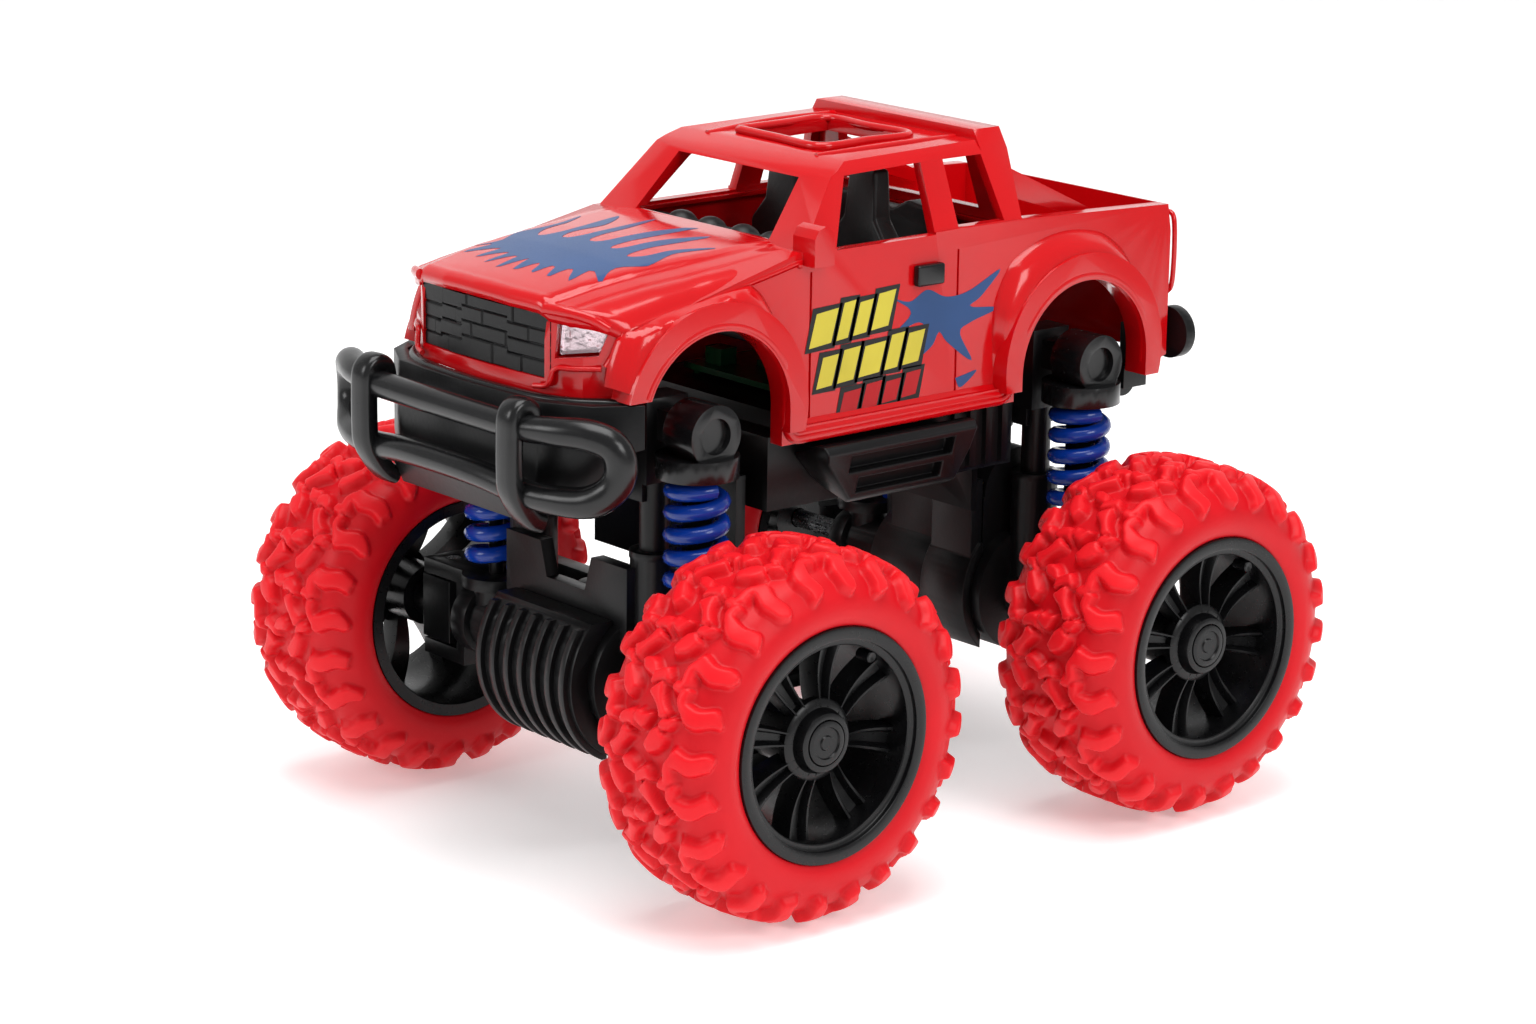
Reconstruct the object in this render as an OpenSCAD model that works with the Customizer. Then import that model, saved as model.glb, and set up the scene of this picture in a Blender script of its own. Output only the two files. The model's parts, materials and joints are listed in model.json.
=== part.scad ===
// Radio-controlled monster truck: pickup body over a tub chassis, two sprung
// solid axles on guide rods, steered front wheels, geared rear axle.
// Frame: +Z up, ground at z = 0, truck faces -Y, +X is the truck's left side.

/* [Overall] */
// Distance between the front and rear axles
wheelbase = 101; // [96:1:125]
// Front axle to the front face of the bull bar
front_overhang = 39.5; // [39.5:0.5:48]
// Rear axle to the back of the tow knobs
rear_overhang = 29.5; // [29.5:0.5:36]
// Width over the outside of the tyres
overall_w = 145; // [140:1:175]

/* [Body shell] */
// Body width across the door skins
body_w = 63; // [60:1:66]
// Body width across the wheel arch flares
flare_w = 71; // [70:1:76]
// Height of the sills above the axle centres
sill_rise = 46; // [45:1:56]
// Height of the belt line above the sills
belt_rise = 35.5; // [34:0.5:42]
// Height of the cab roof above the belt line
roof_rise = 16.5; // [14:0.5:21]
// Height of the roll hoop above the roof
hoop_rise = 2; // [1:0.5:5]
// Wall of the moulded body
body_wall = 1.8; // [1.4:0.1:2.4]
// Radius of the wheel arch openings
arch_r = 17.5; // [16:0.5:19]

/* [Wheels] */
// Outside diameter of the tyres
tyre_d = 72; // [66:1:84]
// Width of the tyres
tyre_w = 31; // [28:1:33]
// Outside diameter of the rims
rim_d = 45; // [43:1:50]
// Wall of the hollow tyres
tyre_skin = 2; // [1.4:0.1:3]
// Number of shoulder lugs round a tyre
lug_count = 24; // [16:1:30]
// Number of spokes in a rim
spoke_count = 8; // [5:1:10]

/* [Suspension] */
// Outside diameter of the coil springs
spring_d = 13; // [11:0.5:13.5]
// Wire diameter of the coil springs
spring_wire = 3.4; // [2.4:0.2:3.6]
// Number of coils in a spring
spring_coils = 7; // [5:1:7]
// Sideways distance between the springs of one axle
spring_track = 63; // [63:0.5:66]
// Diameter of the guide rods
guide_d = 6; // [5:0.5:6]
// Sideways distance between the guide rods of one axle
guide_track = 38; // [37:0.5:39]

/* [Axles and drive] */
// Diameter of the rear axle shaft and the front stub axles
shaft_d = 4; // [3:0.5:4.5]
// Distance between the kingpins
kingpin_track = 92; // [90:1:100]
// Length of the steering arms
steer_arm = 13; // [13:0.5:14]
// Gear tooth module
gear_module = 0.5; // [0.5:0.1:0.5]
// Teeth on the motor pinion
pinion_teeth = 10; // [10:2:10]
// Teeth on the large wheel of the reduction gear
reduction_teeth = 26; // [22:2:26]
// Teeth on the small wheel of the reduction gear
small_teeth = 10; // [10:2:10]
// Teeth on the axle gear
axle_teeth = 36; // [34:2:36]

/* [Electrics] */
// Diameter of a battery cell
cell_d = 14.2; // [14:0.1:14.5]
// Length of a battery cell
cell_l = 50; // [49:0.5:50.5]
// Diameter of the drive motor
motor_d = 15; // [12:0.5:15.5]

/* [Fits] */
// Radial clearance of a turning or sliding fit
run_gap = 0.06; // [0.03:0.01:0.1]
// Clearance between neighbouring pieces
part_gap = 0.3; // [0.2:0.05:0.5]

/* [Hidden] */
$fn = 48;
eps = 0.01;
SIDES = [1, -1];

// Places along the truck
front_reach = max(front_overhang, tyre_d / 2);
rear_reach = max(rear_overhang, tyre_d / 2);
total_l = wheelbase + front_reach + rear_reach;
front_y = -total_l / 2 + front_reach;      // front axle
rear_y = total_l / 2 - rear_reach;         // rear axle
mid_y = (front_y + rear_y) / 2;            // middle of the cab
nose_y = front_y - front_overhang;         // front face of the bull bar
tail_y = rear_y + rear_overhang;           // back of the tow knobs

// Heights
axle_z = tyre_d / 2;
floor_z = axle_z + sill_rise - 15;         // underside of the chassis tub
sill_z = axle_z + sill_rise;
belt_z = sill_z + belt_rise;
roof_z = belt_z + roof_rise;
hoop_z = roof_z + hoop_rise;
fascia_z = sill_z + 14;                    // lower edge of the nose

// Body
body_h = body_w / 2;
flare_h = flare_w / 2;
roof_half = body_h - 5.5;
arch_front_y = front_y + 2;
arch_rear_y = rear_y - 3;
arch_front_z = sill_z + 7.5;
arch_rear_z = sill_z + 5.5;
bed_floor_z = arch_rear_z + arch_r + 1.5;
cab_front_y = mid_y - 26;
cab_rear_y = mid_y + 33;
grille_half = 19;
grille_bottom_z = fascia_z + 3;
grille_top_z = grille_bottom_z + 12;
lamp_depth = 2.4;

// Suspension, measured from the axle line
spring_x = spring_track / 2;
guide_x = guide_track / 2;
guide_r = guide_d / 2;
post_r = guide_r + 1.75;
post_top_z = axle_z + 26;
cup_z = axle_z + 10;                       // top of the lower spring cup
cap_z = sill_z - 3;                        // underside of the upper spring cap
cap_r = spring_d / 2 + 1.5;
tower_x = spring_x - cap_r - 1;            // outer face of the shock towers
eye_z = cap_z + 8.5;
eye_r = 6;
rod_r = 1.5;
tube_r = 2.8;
case_r = 13;
tube_outer_r = 6;
bump = 5;

// Wheels
wheel_x = overall_w / 2 - tyre_w / 2;      // middle plane of a wheel
rim_r = rim_d / 2;
rim_w = tyre_w - 1.6;
rim_wall = 2.3;
hub_r = 6;
shaft_r = shaft_d / 2;
kingpin_x = kingpin_track / 2;
kingpin_r = 1.5;
stub_end_x = overall_w / 2 - 5;

// Gear train, stacked upwards from the axle
small_r = small_teeth * gear_module / 2;
axle_gear_r = axle_teeth * gear_module / 2;
reduction_r = reduction_teeth * gear_module / 2;
pinion_r = pinion_teeth * gear_module / 2;
reduction_z = axle_z + axle_gear_r + small_r;
motor_z = reduction_z + reduction_r + pinion_r;
chamber_half = motor_d / 2 + 2.1;          // half the depth of the gear chamber
gear_x = 5;
gear_face = 3;
pin_r = 0.75;                              // motor shaft and reduction shaft
reduction_x = gear_x + gear_face + 0.5;

// Chassis tub, battery box and cabin
tub_wall = 1.8;
tub_front_y = mid_y - 28;
rail_z = floor_z + 5;                      // underside of the end rails
rail_half = 13.6;
door_front_y = tub_front_y + 7;
door_rear_y = door_front_y + cell_l + 6;
door_half = cell_d * 1.5 + 1.6;
tub_half = door_half + 2.6;
tub_rear_y = door_rear_y + 2;
box_top_z = floor_z + tub_wall + cell_d + 2;   // top of the battery box
tray_z = sill_z + 16;
screw_x = 14;                              // body screws
screw_ys = [front_y - 13, rear_y - 8];
screw_head_r = 2.6;
screw_r = 0.9;
latch_y = door_front_y - 3;                // battery door screw and power switch
switch_x = 15;
hinge_r = 0.9;                             // barrel of the battery door
hinge_half = 8;

// Bull bar, tow knobs and steering rods
bar_top_z = sill_z + 10;
bar_low_z = sill_z - 1;
bar_r = 2.6;
upright_x = 20.5;
knob_z = sill_z + 7.4;
knob_x = 29.5;
neck_x = 27.4;
neck_r = 1.8;
arm_z = axle_z + case_r;
rod_z = axle_z + 9;

// ---------- shared shapes ----------

// Outline in (y, z), extruded across the truck and centred on x = 0
module across(w) {
    rotate([90, 0, 90]) linear_extrude(w, center = true) children();
}

// Outline in (y, z), extruded from x = from to x = to
module across_from(from, to) {
    translate([from, 0, 0]) rotate([90, 0, 90]) linear_extrude(to - from) children();
}

// Outline in (x, z), extruded along the truck from y = from to y = to
module along(from, to) {
    translate([0, to, 0]) rotate([90, 0, 0]) linear_extrude(to - from) children();
}

// Round bar along X
module bar_x(r, from, to) {
    translate([from, 0, 0]) rotate([0, 90, 0]) cylinder(r = r, h = to - from);
}

// Round bar along Y
module bar_y(r, from, to) {
    translate([0, from, 0]) rotate([-90, 0, 0]) cylinder(r = r, h = to - from);
}

// Box given by two corners
module span(low, high) {
    translate(low) cube(high - low);
}

// The children and their mirror image on the other side
module both_sides() {
    for (s = SIDES) scale_x(s) children();
}

module scale_x(s) {
    if (s > 0) children();
    else mirror([1, 0, 0]) children();
}

// Twelve-sided bar through a list of points; each length runs a little past its bends
module bent_bar(points, r) {
    last = len(points) - 2;
    for (i = [0 : last]) {
        step = points[i + 1] - points[i];
        reach = norm(step);
        before = i == 0 ? 0 : r * 0.5;
        after = i == last ? 0 : r * 0.5;
        translate(points[i] - before * step / reach)
            rotate([0, acos(step[2] / reach), atan2(step[1], step[0])])
                cylinder(r = r, h = reach + before + after, $fn = 12);
    }
}

// Spur gear outline with involute flanks, thinned by the backlash
function involute(a) = tan(a) * 180 / PI - a;
function gear_points(teeth, m, backlash) =
    let (
        pitch = teeth * m / 2,
        base = pitch * cos(20),
        tip = pitch + 0.8 * m,
        root = pitch - 1.2 * m,
        half = 90 / teeth - backlash / 2 / pitch * 180 / PI + involute(20),
        start = max(base, root + 0.02),
        radii = [for (k = [0 : 4]) start + (tip - start) * k / 4],
        spread = [for (r = radii) half - involute(acos(min(1, base / r)))]
    )
    [for (i = [0 : teeth - 1]) each concat(
        [root * [cos(360 * i / teeth - spread[0]), sin(360 * i / teeth - spread[0])]],
        [for (k = [0 : 4]) radii[k] * [cos(360 * i / teeth - spread[k]), sin(360 * i / teeth - spread[k])]],
        [for (k = [4 : -1 : 0]) radii[k] * [cos(360 * i / teeth + spread[k]), sin(360 * i / teeth + spread[k])]],
        [root * [cos(360 * i / teeth + spread[0]), sin(360 * i / teeth + spread[0])]]
    )];

// Spur gear on a shaft along X; turn sets where its first tooth points
module gear_x_axis(teeth, face, bore_r, turn) {
    rotate([0, 90, 0]) rotate(turn) difference() {
        linear_extrude(face) polygon(gear_points(teeth, gear_module, 0.12));
        translate([0, 0, -eps]) cylinder(r = bore_r, h = face + 2 * eps, $fn = 32);
    }
}

// ---------- body shell ----------

function body_profile(inset) = [
    [nose_y + 11.5 + inset, fascia_z - (inset > 0 ? 20 : 0)],
    [nose_y + 14 + inset, grille_top_z + 2 - inset],
    [nose_y + 18 + inset, grille_top_z + 4 - inset],
    [front_y, belt_z - 1 - inset],
    [cab_front_y, belt_z + 1 - inset],
    [cab_rear_y, belt_z + 1 - inset],
    [tail_y - 6 - inset, belt_z - 0.5 - inset],
    [tail_y - 3 - inset, sill_z + 18],
    [tail_y - 3 - inset, sill_z + (inset > 0 ? -20 : 4)],
    [tail_y - 8 - inset, sill_z + (inset > 0 ? -20 : 2.5)],
    [arch_rear_y + arch_r, sill_z + (inset > 0 ? -20 : 2.5)],
    [arch_rear_y, sill_z - (inset > 0 ? 20 : 0)],
    [arch_front_y, sill_z - (inset > 0 ? 20 : 0)],
    [arch_front_y - 4, fascia_z - (inset > 0 ? 20 : 0)]
];

function body_plan(inset) = [
    [0, nose_y + 11.5 + inset], [grille_half, nose_y + 13 + inset],
    [body_h - 5.5, nose_y + 16.5 + inset], [body_h - inset, nose_y + 23.5 + inset],
    [body_h - inset, tail_y - 5 - inset], [body_h - 2 - inset, tail_y - 3 - inset],
    [0, tail_y - 3 - inset]
];

module body_plan_shape(inset) {
    half = body_plan(inset);
    polygon(concat(half, [for (i = [len(half) - 1 : -1 : 0]) [-half[i][0], half[i][1]]]));
}

// Lower body from nose to tail, without the cab
module body_block(inset) {
    intersection() {
        across(body_w * 2) polygon(body_profile(inset));
        translate([0, 0, sill_z - 30]) linear_extrude(100) body_plan_shape(inset);
    }
}

// Cab above the belt line, with the sides leaning in
module cab_block(inset) {
    intersection() {
        across(body_w) polygon([
            [cab_front_y + 0.5 + inset, belt_z], [cab_front_y + 12 + inset, roof_z - 3 - inset],
            [cab_front_y + 17 + inset, roof_z - 0.6 - inset], [cab_rear_y - 8, roof_z - inset],
            [cab_rear_y - 3 - inset, roof_z - inset], [cab_rear_y - inset, belt_z]
        ]);
        along(cab_front_y - 1, cab_rear_y + 1) polygon([
            [-body_h + inset, belt_z - eps], [-roof_half + inset, roof_z - 2], [-roof_half + 3, roof_z + 1],
            [roof_half - 3, roof_z + 1], [roof_half - inset, roof_z - 2], [body_h - inset, belt_z - eps]
        ]);
    }
}

// Half-round wheel arch cutter, reaching down past the sill
module arch_shape(r, z) {
    circle(r = r);
    translate([-r, -z]) square([2 * r, z]);
}

module flares() {
    for (arch = [[arch_front_y, arch_front_z, 6.5], [arch_rear_y, arch_rear_z, -3]]) both_sides()
        intersection() {
            across_from(body_h - body_wall, flare_h) translate([arch[0], arch[1]]) difference() {
                union() {
                    translate([0, 1]) circle(r = arch_r + 4.5);
                    translate([-arch_r - 3, -12]) square([2 * arch_r + 6, 12]);
                }
                arch_shape(arch_r, 40);
            }
            across(flare_w + 2) polygon([
                [arch[0] - 30, arch[1] + arch[2]], [arch[0], arch[1] + arch[2]], [arch[0], arch[1] - 4.5],
                [arch[0] + 30, arch[1] - 4.5], [arch[0] + 30, arch[1] + 40], [arch[0] - 30, arch[1] + 40]
            ]);
        }
}

module side_windows() {
    across(body_w + 10) polygon([
        [cab_front_y + 9.5, belt_z + 0.5], [cab_front_y + 15.5, roof_z - 3], [mid_y + 9.5, roof_z - 2.5],
        [mid_y + 9.2, belt_z + 0.5]
    ]);
    across(body_w + 10) polygon([
        [mid_y + 15.6, belt_z + 1.2], [mid_y + 15.4, roof_z - 2.5], [mid_y + 25.6, roof_z - 2.5],
        [mid_y + 28, belt_z + 1.2]
    ]);
}

module windscreen_opening() {
    along(cab_front_y - 5, cab_front_y + 18) polygon([
        [-20.4, belt_z + 1.6], [-18.2, roof_z - 4], [18.2, roof_z - 4], [20.4, belt_z + 1.6]
    ]);
}

module rear_window_opening() {
    along(cab_rear_y - 8, cab_rear_y + 2) polygon([
        [-21, belt_z + 2], [-19, roof_z - 3.5], [19, roof_z - 3.5], [21, belt_z + 2]
    ]);
}

module sunroof_opening() {
    span([-12, cab_front_y + 22, roof_z - 8], [12, cab_rear_y - 14, roof_z + 4]);
}

// Raised bar over the back of the cab, with a leg down each side to the bed
module roll_hoop() {
    along(cab_rear_y - 7, cab_rear_y) difference() {
        polygon([
            [-body_h, belt_z - 1], [-roof_half, roof_z - 2], [-roof_half + 2.5, hoop_z],
            [roof_half - 2.5, hoop_z], [roof_half, roof_z - 2], [body_h, belt_z - 1]
        ]);
        polygon([
            [-body_h + 4, belt_z - 2], [-roof_half + 3.5, roof_z - 3], [roof_half - 3.5, roof_z - 3],
            [body_h - 4, belt_z - 2]
        ]);
    }
}

// Sloping brace from the hoop down to the bed rail
module hoop_brace() {
    across_from(roof_half - 3, roof_half + 1) polygon([
        [cab_rear_y - 2, roof_z - 5], [cab_rear_y + 26, belt_z - 1.5], [cab_rear_y + 20, belt_z - 1.5],
        [cab_rear_y - 2, roof_z - 11]
    ]);
}

// Stub of the driver's mirror, with a rounded top
module mirror_stub() {
    across_from(body_h - 3, body_h + 3.4) polygon([
        [cab_front_y + 1, belt_z - 1.5], [cab_front_y + 6, belt_z - 1.5], [cab_front_y + 6, belt_z + 4],
        [cab_front_y + 5.2, belt_z + 5.6], [cab_front_y + 3.6, belt_z + 6.2], [cab_front_y + 2, belt_z + 5.6],
        [cab_front_y + 1, belt_z + 4]
    ]);
}

module nose_recesses() {
    span([-grille_half, nose_y + 5, grille_bottom_z], [grille_half, nose_y + 15.4, grille_top_z]);
    both_sides() lamp_prism(0);
}

// Headlight pocket on the corner of the nose; gap shrinks it for the lens
module lamp_prism(gap) {
    translate([grille_half + 1, nose_y + 15.2, grille_bottom_z + 4]) rotate(36)
        translate([0, -lamp_depth * 2, 0]) rotate([90, 0, 0]) translate([0, 0, -lamp_depth * 3])
            linear_extrude(lamp_depth * 3 + 8) polygon([
                [gap, gap], [0.6 + gap, 7.4 - gap], [11 - gap, 8 - gap], [8.4 - gap, 1 + gap]
            ]);
}

module body_shell() {
    color("#d3121b") difference() {
        union() {
            difference() {
                union() {
                    body_block(0);
                    cab_block(0);
                    roll_hoop();
                }
                // cabin and wheel well space, open at the bottom
                difference() {
                    body_block(body_wall);
                    span([-body_w, cab_rear_y - body_wall, bed_floor_z - body_wall], [body_w, tail_y, roof_z]);
                }
                intersection() {
                    cab_block(body_wall + 0.4);
                    span([-body_w, nose_y, belt_z - 3], [body_w, cab_rear_y - body_wall, roof_z]);
                }
                span([-body_h + 4, cab_front_y + 3, belt_z - 4], [body_h - 4, cab_rear_y - 4, belt_z + 2]);
                // open load bed
                span([-body_h + 3, cab_rear_y + 0.5, bed_floor_z], [body_h - 3, tail_y - 6.5, hoop_z]);
                // wheel arches through the side skins
                for (a = [[arch_front_y, arch_front_z], [arch_rear_y, arch_rear_z]])
                    across(body_w + 2) translate([a[0], a[1]]) arch_shape(arch_r, 40);
            }
            flares();
            both_sides() hoop_brace();
            mirror_stub();
            // sill border under the doors
            both_sides() span([body_h - body_wall, arch_front_y + arch_r, sill_z],
                [body_h + 1.6, arch_rear_y - arch_r, sill_z + 3.2]);
            // raised middle of the hood
            across(40) polygon([
                [nose_y + 15.5, grille_top_z + 1], [nose_y + 18.5, grille_top_z + 5], [front_y, belt_z + 0.2],
                [cab_front_y + 1, belt_z + 2.2], [cab_front_y + 1, belt_z - 0.5], [front_y, belt_z - 2.5]
            ]);
            // body posts down to the chassis
            both_sides() for (y = screw_ys) body_post(y);
            nose_backing();
        }
        side_windows();
        windscreen_opening();
        rear_window_opening();
        sunroof_opening();
        nose_recesses();
        // shut lines round the doors
        both_sides() for (y = [mid_y - 23.2, mid_y + 15])
            span([body_h - 0.5, y, sill_z + 3.4], [body_h + 1, y + 0.6, belt_z - 3]);
        both_sides() for (y = screw_ys)
            translate([screw_x, y, floor_z]) cylinder(r = screw_r, h = sill_z + 13 - floor_z);
        // way out for the necks of the tow knobs
        both_sides() translate([neck_x, 0, knob_z]) bar_y(neck_r + part_gap, tail_y - 12, tail_y);
    }
}

module body_post(y) {
    top = y < mid_y ? belt_z - 3 : bed_floor_z - 1;
    translate([screw_x, y, sill_z + 1]) cylinder(r = 3, h = top - sill_z - 1);
}

// Solid behind the grille so that the pocket has a floor
module nose_backing() {
    span([-grille_half - 1, nose_y + 15.4, grille_bottom_z - 2], [grille_half + 1, nose_y + 17.2, grille_top_z + 1]);
    both_sides() translate([grille_half + 1, nose_y + 15.2, grille_bottom_z + 3]) rotate(36)
        translate([-1, 2 * lamp_depth - 2.4, 0]) cube([13, 2, 10]);
}

module grille_insert() {
    color("#1d1d1f") difference() {
        span([-grille_half + part_gap, nose_y + 12.4, grille_bottom_z + part_gap],
            [grille_half - part_gap, nose_y + 15.4, grille_top_z - part_gap]);
        // long and short slots in staggered rows
        for (row = [0 : 3]) for (i = [0 : 3])
            span([-grille_half + 1.5 + i * 9 + (row % 2) * 3, nose_y + 12, grille_bottom_z + 2 + row * 2.6],
                [-grille_half + 8 + i * 9 + (row % 2) * 3, nose_y + 13, grille_bottom_z + 2.7 + row * 2.6]);
    }
}

module headlight_piece(near, far) {
    both_sides() intersection() {
        lamp_prism(part_gap);
        translate([grille_half + 1, nose_y + 15.2, grille_bottom_z + 2]) rotate(36)
            translate([-4, 2 * lamp_depth - near, 0]) cube([20, near - far, 14]);
    }
}

module headlight_reflectors() {
    color("#c9b4b8") headlight_piece(2.7, 2.4);
}

module headlight_lenses() {
    color("#e8e4e6") headlight_piece(4.6, 2.7);
}

module door_handles() {
    color("#1a1a1c") both_sides()
        span([body_h, mid_y + 3.4, belt_z - 9], [body_h + 1.8, mid_y + 10.4, belt_z - 4.8]);
}

module body_screws() {
    color("#9a9a9c") both_sides() for (y = screw_ys) translate([screw_x, y, 0]) {
        translate([0, 0, rail_z + 0.2]) cylinder(r = screw_head_r, h = 1.8);
        translate([0, 0, rail_z + 1.9]) cylinder(r = screw_r, h = sill_z + 10 - rail_z);
    }
}

// ---------- cabin ----------

module cabin_tray() {
    color("#161617") difference() {
        union() {
            span([-24, cab_front_y + 2, tray_z], [24, cab_rear_y - 4, tray_z + 1.6]);
            // feet down to the chassis tub
            both_sides() for (y = [mid_y - 22, mid_y + 24])
                span([19, y, max(box_top_z, sill_z - part_gap)], [23, y + 4, tray_z]);
        }
        // slots for the seat tongues
        for (seat = seat_places()) span([seat[0] - 3 - part_gap, seat[1] - 2 - part_gap, tray_z - 1],
            [seat[0] + 3 + part_gap, seat[1] + 2 + part_gap, tray_z + 2]);
    }
}

function seat_places() = [[12, mid_y + 2], [-12, mid_y + 2], [0, mid_y + 20]];

module dashboard() {
    color("#161617") {
        across(44) polygon([
            [cab_front_y + 4, tray_z + 1.6], [cab_front_y + 4, belt_z - 3], [cab_front_y + 8, belt_z + 0.5],
            [cab_front_y + 13, belt_z - 1], [cab_front_y + 14, belt_z - 8], [cab_front_y + 11, tray_z + 1.6]
        ]);
        for (x = [-14, -5, 5, 14]) translate([x, cab_front_y + 8.5, belt_z - 2]) sphere(r = 3.6);
    }
}

module steering_wheel() {
    color("#161617") translate([11, cab_front_y + 17, belt_z - 2]) rotate([60, 0, 0]) {
        rotate_extrude() translate([4.6, 0]) circle(r = 0.8, $fn = 24);
        cylinder(r = 1.6, h = 1.4, center = true);
        for (a = [90, 210, 330]) rotate(a) translate([0, -0.6, -0.6]) cube([4.6, 1.2, 1.2]);
        cylinder(r = 0.9, h = 4.2);
    }
}

module bucket_seat(x, y, w, back_h) {
    translate([x, y, tray_z + 1.6]) {
        // cushion
        along(-9, 6) polygon([
            [-w, 0], [-w, 6.5], [-w + 2.5, 7.5], [-w + 3.5, 5.5], [w - 3.5, 5.5], [w - 2.5, 7.5], [w, 6.5], [w, 0]
        ]);
        // backrest, leaning back
        intersection() {
            across(2 * w) polygon([[3, 0], [5, back_h], [9, back_h], [9, 0]]);
            along(0, 12) polygon([
                [-w, 0], [-w, back_h * 0.5], [-w * 0.55, back_h * 0.66], [-w * 0.45, back_h],
                [w * 0.45, back_h], [w * 0.55, back_h * 0.66], [w, back_h * 0.5], [w, 0]
            ]);
        }
        // tongue in the tray
        span([-3, -2, -1.6], [3, 2, 1]);
    }
}

module front_seats() {
    color("#161617") for (s = SIDES) bucket_seat(s * 12, mid_y + 2, 8.5, 29);
}

module rear_seat() {
    color("#161617") translate([0, mid_y + 20, tray_z + 1.6]) {
        span([-20, -6, 0], [20, 3.5, 7]);
        along(3.5, 8) polygon([
            [-20, 0], [-20, 15], [-16, 19], [-7, 20], [-3, 18], [3, 18], [7, 20], [16, 19], [20, 15], [20, 0]
        ]);
        span([-3, -2, -1.6], [3, 2, 1]);
    }
}

// ---------- chassis ----------

module chassis_tub() {
    color("#1b1b1d") difference() {
        union() {
            span([-tub_half, tub_front_y, floor_z], [tub_half, tub_rear_y, sill_z - part_gap]);
            // end rails under the bonnet and the bed
            span([-rail_half, nose_y + 16, rail_z], [rail_half, tub_front_y + 1, sill_z - 2]);
            span([-rail_half, tub_rear_y - 1, rail_z], [rail_half, tail_y - 5, sill_z - 2]);
            both_sides() for (y = screw_ys)
                translate([screw_x, y, rail_z]) cylinder(r = 4.4, h = sill_z + 0.7 - rail_z);
            // roof of the battery box
            span([-door_half - 1.4, door_front_y - 1.2, floor_z], [door_half + 1.4, door_rear_y + 1.2, box_top_z]);
            // upright ribs on the sides, behind the steps
            both_sides() for (i = [0 : 3])
                span([tub_half - 1, mid_y + 20 + i * 4.4, floor_z + 1], [tub_half + 1.2, mid_y + 21.6 + i * 4.4, sill_z - 2]);
            // shields between the tub and the two axles
            span([-22, front_y + 17.6, floor_z - 15], [22, front_y + 20, rail_z + 2]);
            span([-16, tub_rear_y - 1.6, floor_z - 12], [16, tub_rear_y, floor_z + 2]);
            // shock towers and the heads of the guide rods
            for (y = [front_y, rear_y]) {
                span([-20, y - 4, rail_z], [20, y + 4, sill_z - 2]);
                both_sides() shock_tower(y);
            }
        }
        // battery box, open at the bottom where the door goes
        span([-door_half, door_front_y, floor_z - 1], [door_half, door_rear_y, box_top_z - 1.2]);
        span([-door_half - part_gap, door_front_y - part_gap, floor_z - 1],
            [door_half + part_gap, door_rear_y + part_gap, floor_z + tub_wall]);
        translate([0, door_rear_y, floor_z]) bar_x(hinge_r + part_gap, -hinge_half - part_gap, hinge_half + part_gap);
        // hollow rails
        span([-rail_half + 2, nose_y + 18, rail_z + tub_wall], [rail_half - 2, tub_front_y - 2, sill_z]);
        span([-rail_half + 2, tub_rear_y + 2, rail_z + tub_wall], [rail_half - 2, tail_y - 7, sill_z]);
        // body screws, with their heads sunk
        both_sides() for (y = screw_ys) translate([screw_x, y, 0]) {
            translate([0, 0, rail_z - 1]) cylinder(r = screw_head_r + part_gap, h = 3);
            translate([0, 0, rail_z]) cylinder(r = screw_r + part_gap, h = 30);
        }
        // guide rod sockets
        both_sides() for (y = [front_y, rear_y]) translate([guide_x, y, rail_z - 1]) cylinder(r = guide_r, h = 9);
        // slot and pocket for the power switch
        span([switch_x - 4.5, latch_y - 1.3, floor_z - 1], [switch_x + 4.5, latch_y + 1.3, floor_z + 3]);
        span([switch_x - 6, latch_y - 2.2, floor_z + 1.4], [switch_x + 6, latch_y + 2.2, floor_z + 6.2]);
        // screw hole of the battery door
        translate([0, latch_y, floor_z - 1]) cylinder(r = 1.3, h = 8);
    }
}

// Upright plate that carries a shock eye
module shock_tower(y) {
    difference() {
        union() {
            span([16, y - 5, rail_z + 4], [tower_x, y + 5, eye_z + 5]);
            span([20, y - 2.5, eye_z - 3], [spring_x - 6.2, y + 2.5, eye_z + 3]);
        }
        translate([guide_x, y, rail_z]) cylinder(r = guide_r, h = 8);
    }
    translate([0, y, eye_z]) bar_x(2.5, 20, spring_x - 3);
}

module guide_rods() {
    color("#b9babd") both_sides() for (y = [front_y, rear_y])
        translate([guide_x, y, axle_z + 8]) cylinder(r = guide_r, h = rail_z + 8 - axle_z - 8);
}

// Upper end of a shock: eye, cap and inner tube
module shock_top(y) {
    translate([0, y, 0]) {
        difference() {
            union() {
                translate([0, 0, eye_z]) bar_x(eye_r, spring_x - 3, spring_x + 5.5);
                translate([spring_x, 0, cap_z]) cylinder(r = cap_r, h = 4.2);
                translate([spring_x, 0, cap_z + 4]) cylinder(r = 3, h = 3);
                translate([spring_x, 0, cup_z + 14]) cylinder(r = tube_r, h = cap_z - cup_z - 13);
            }
            translate([0, 0, eye_z]) bar_x(3.5, spring_x + 4, spring_x + 6);
            translate([0, 0, eye_z]) bar_x(2.5, spring_x - 4, spring_x - 3 + eps);
            translate([spring_x, 0, cup_z + 13]) cylinder(r = rod_r + run_gap, h = 23);
        }
    }
}

module shock_tops() {
    color("#1b1b1d") both_sides() for (y = [front_y, rear_y]) shock_top(y);
}

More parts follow.
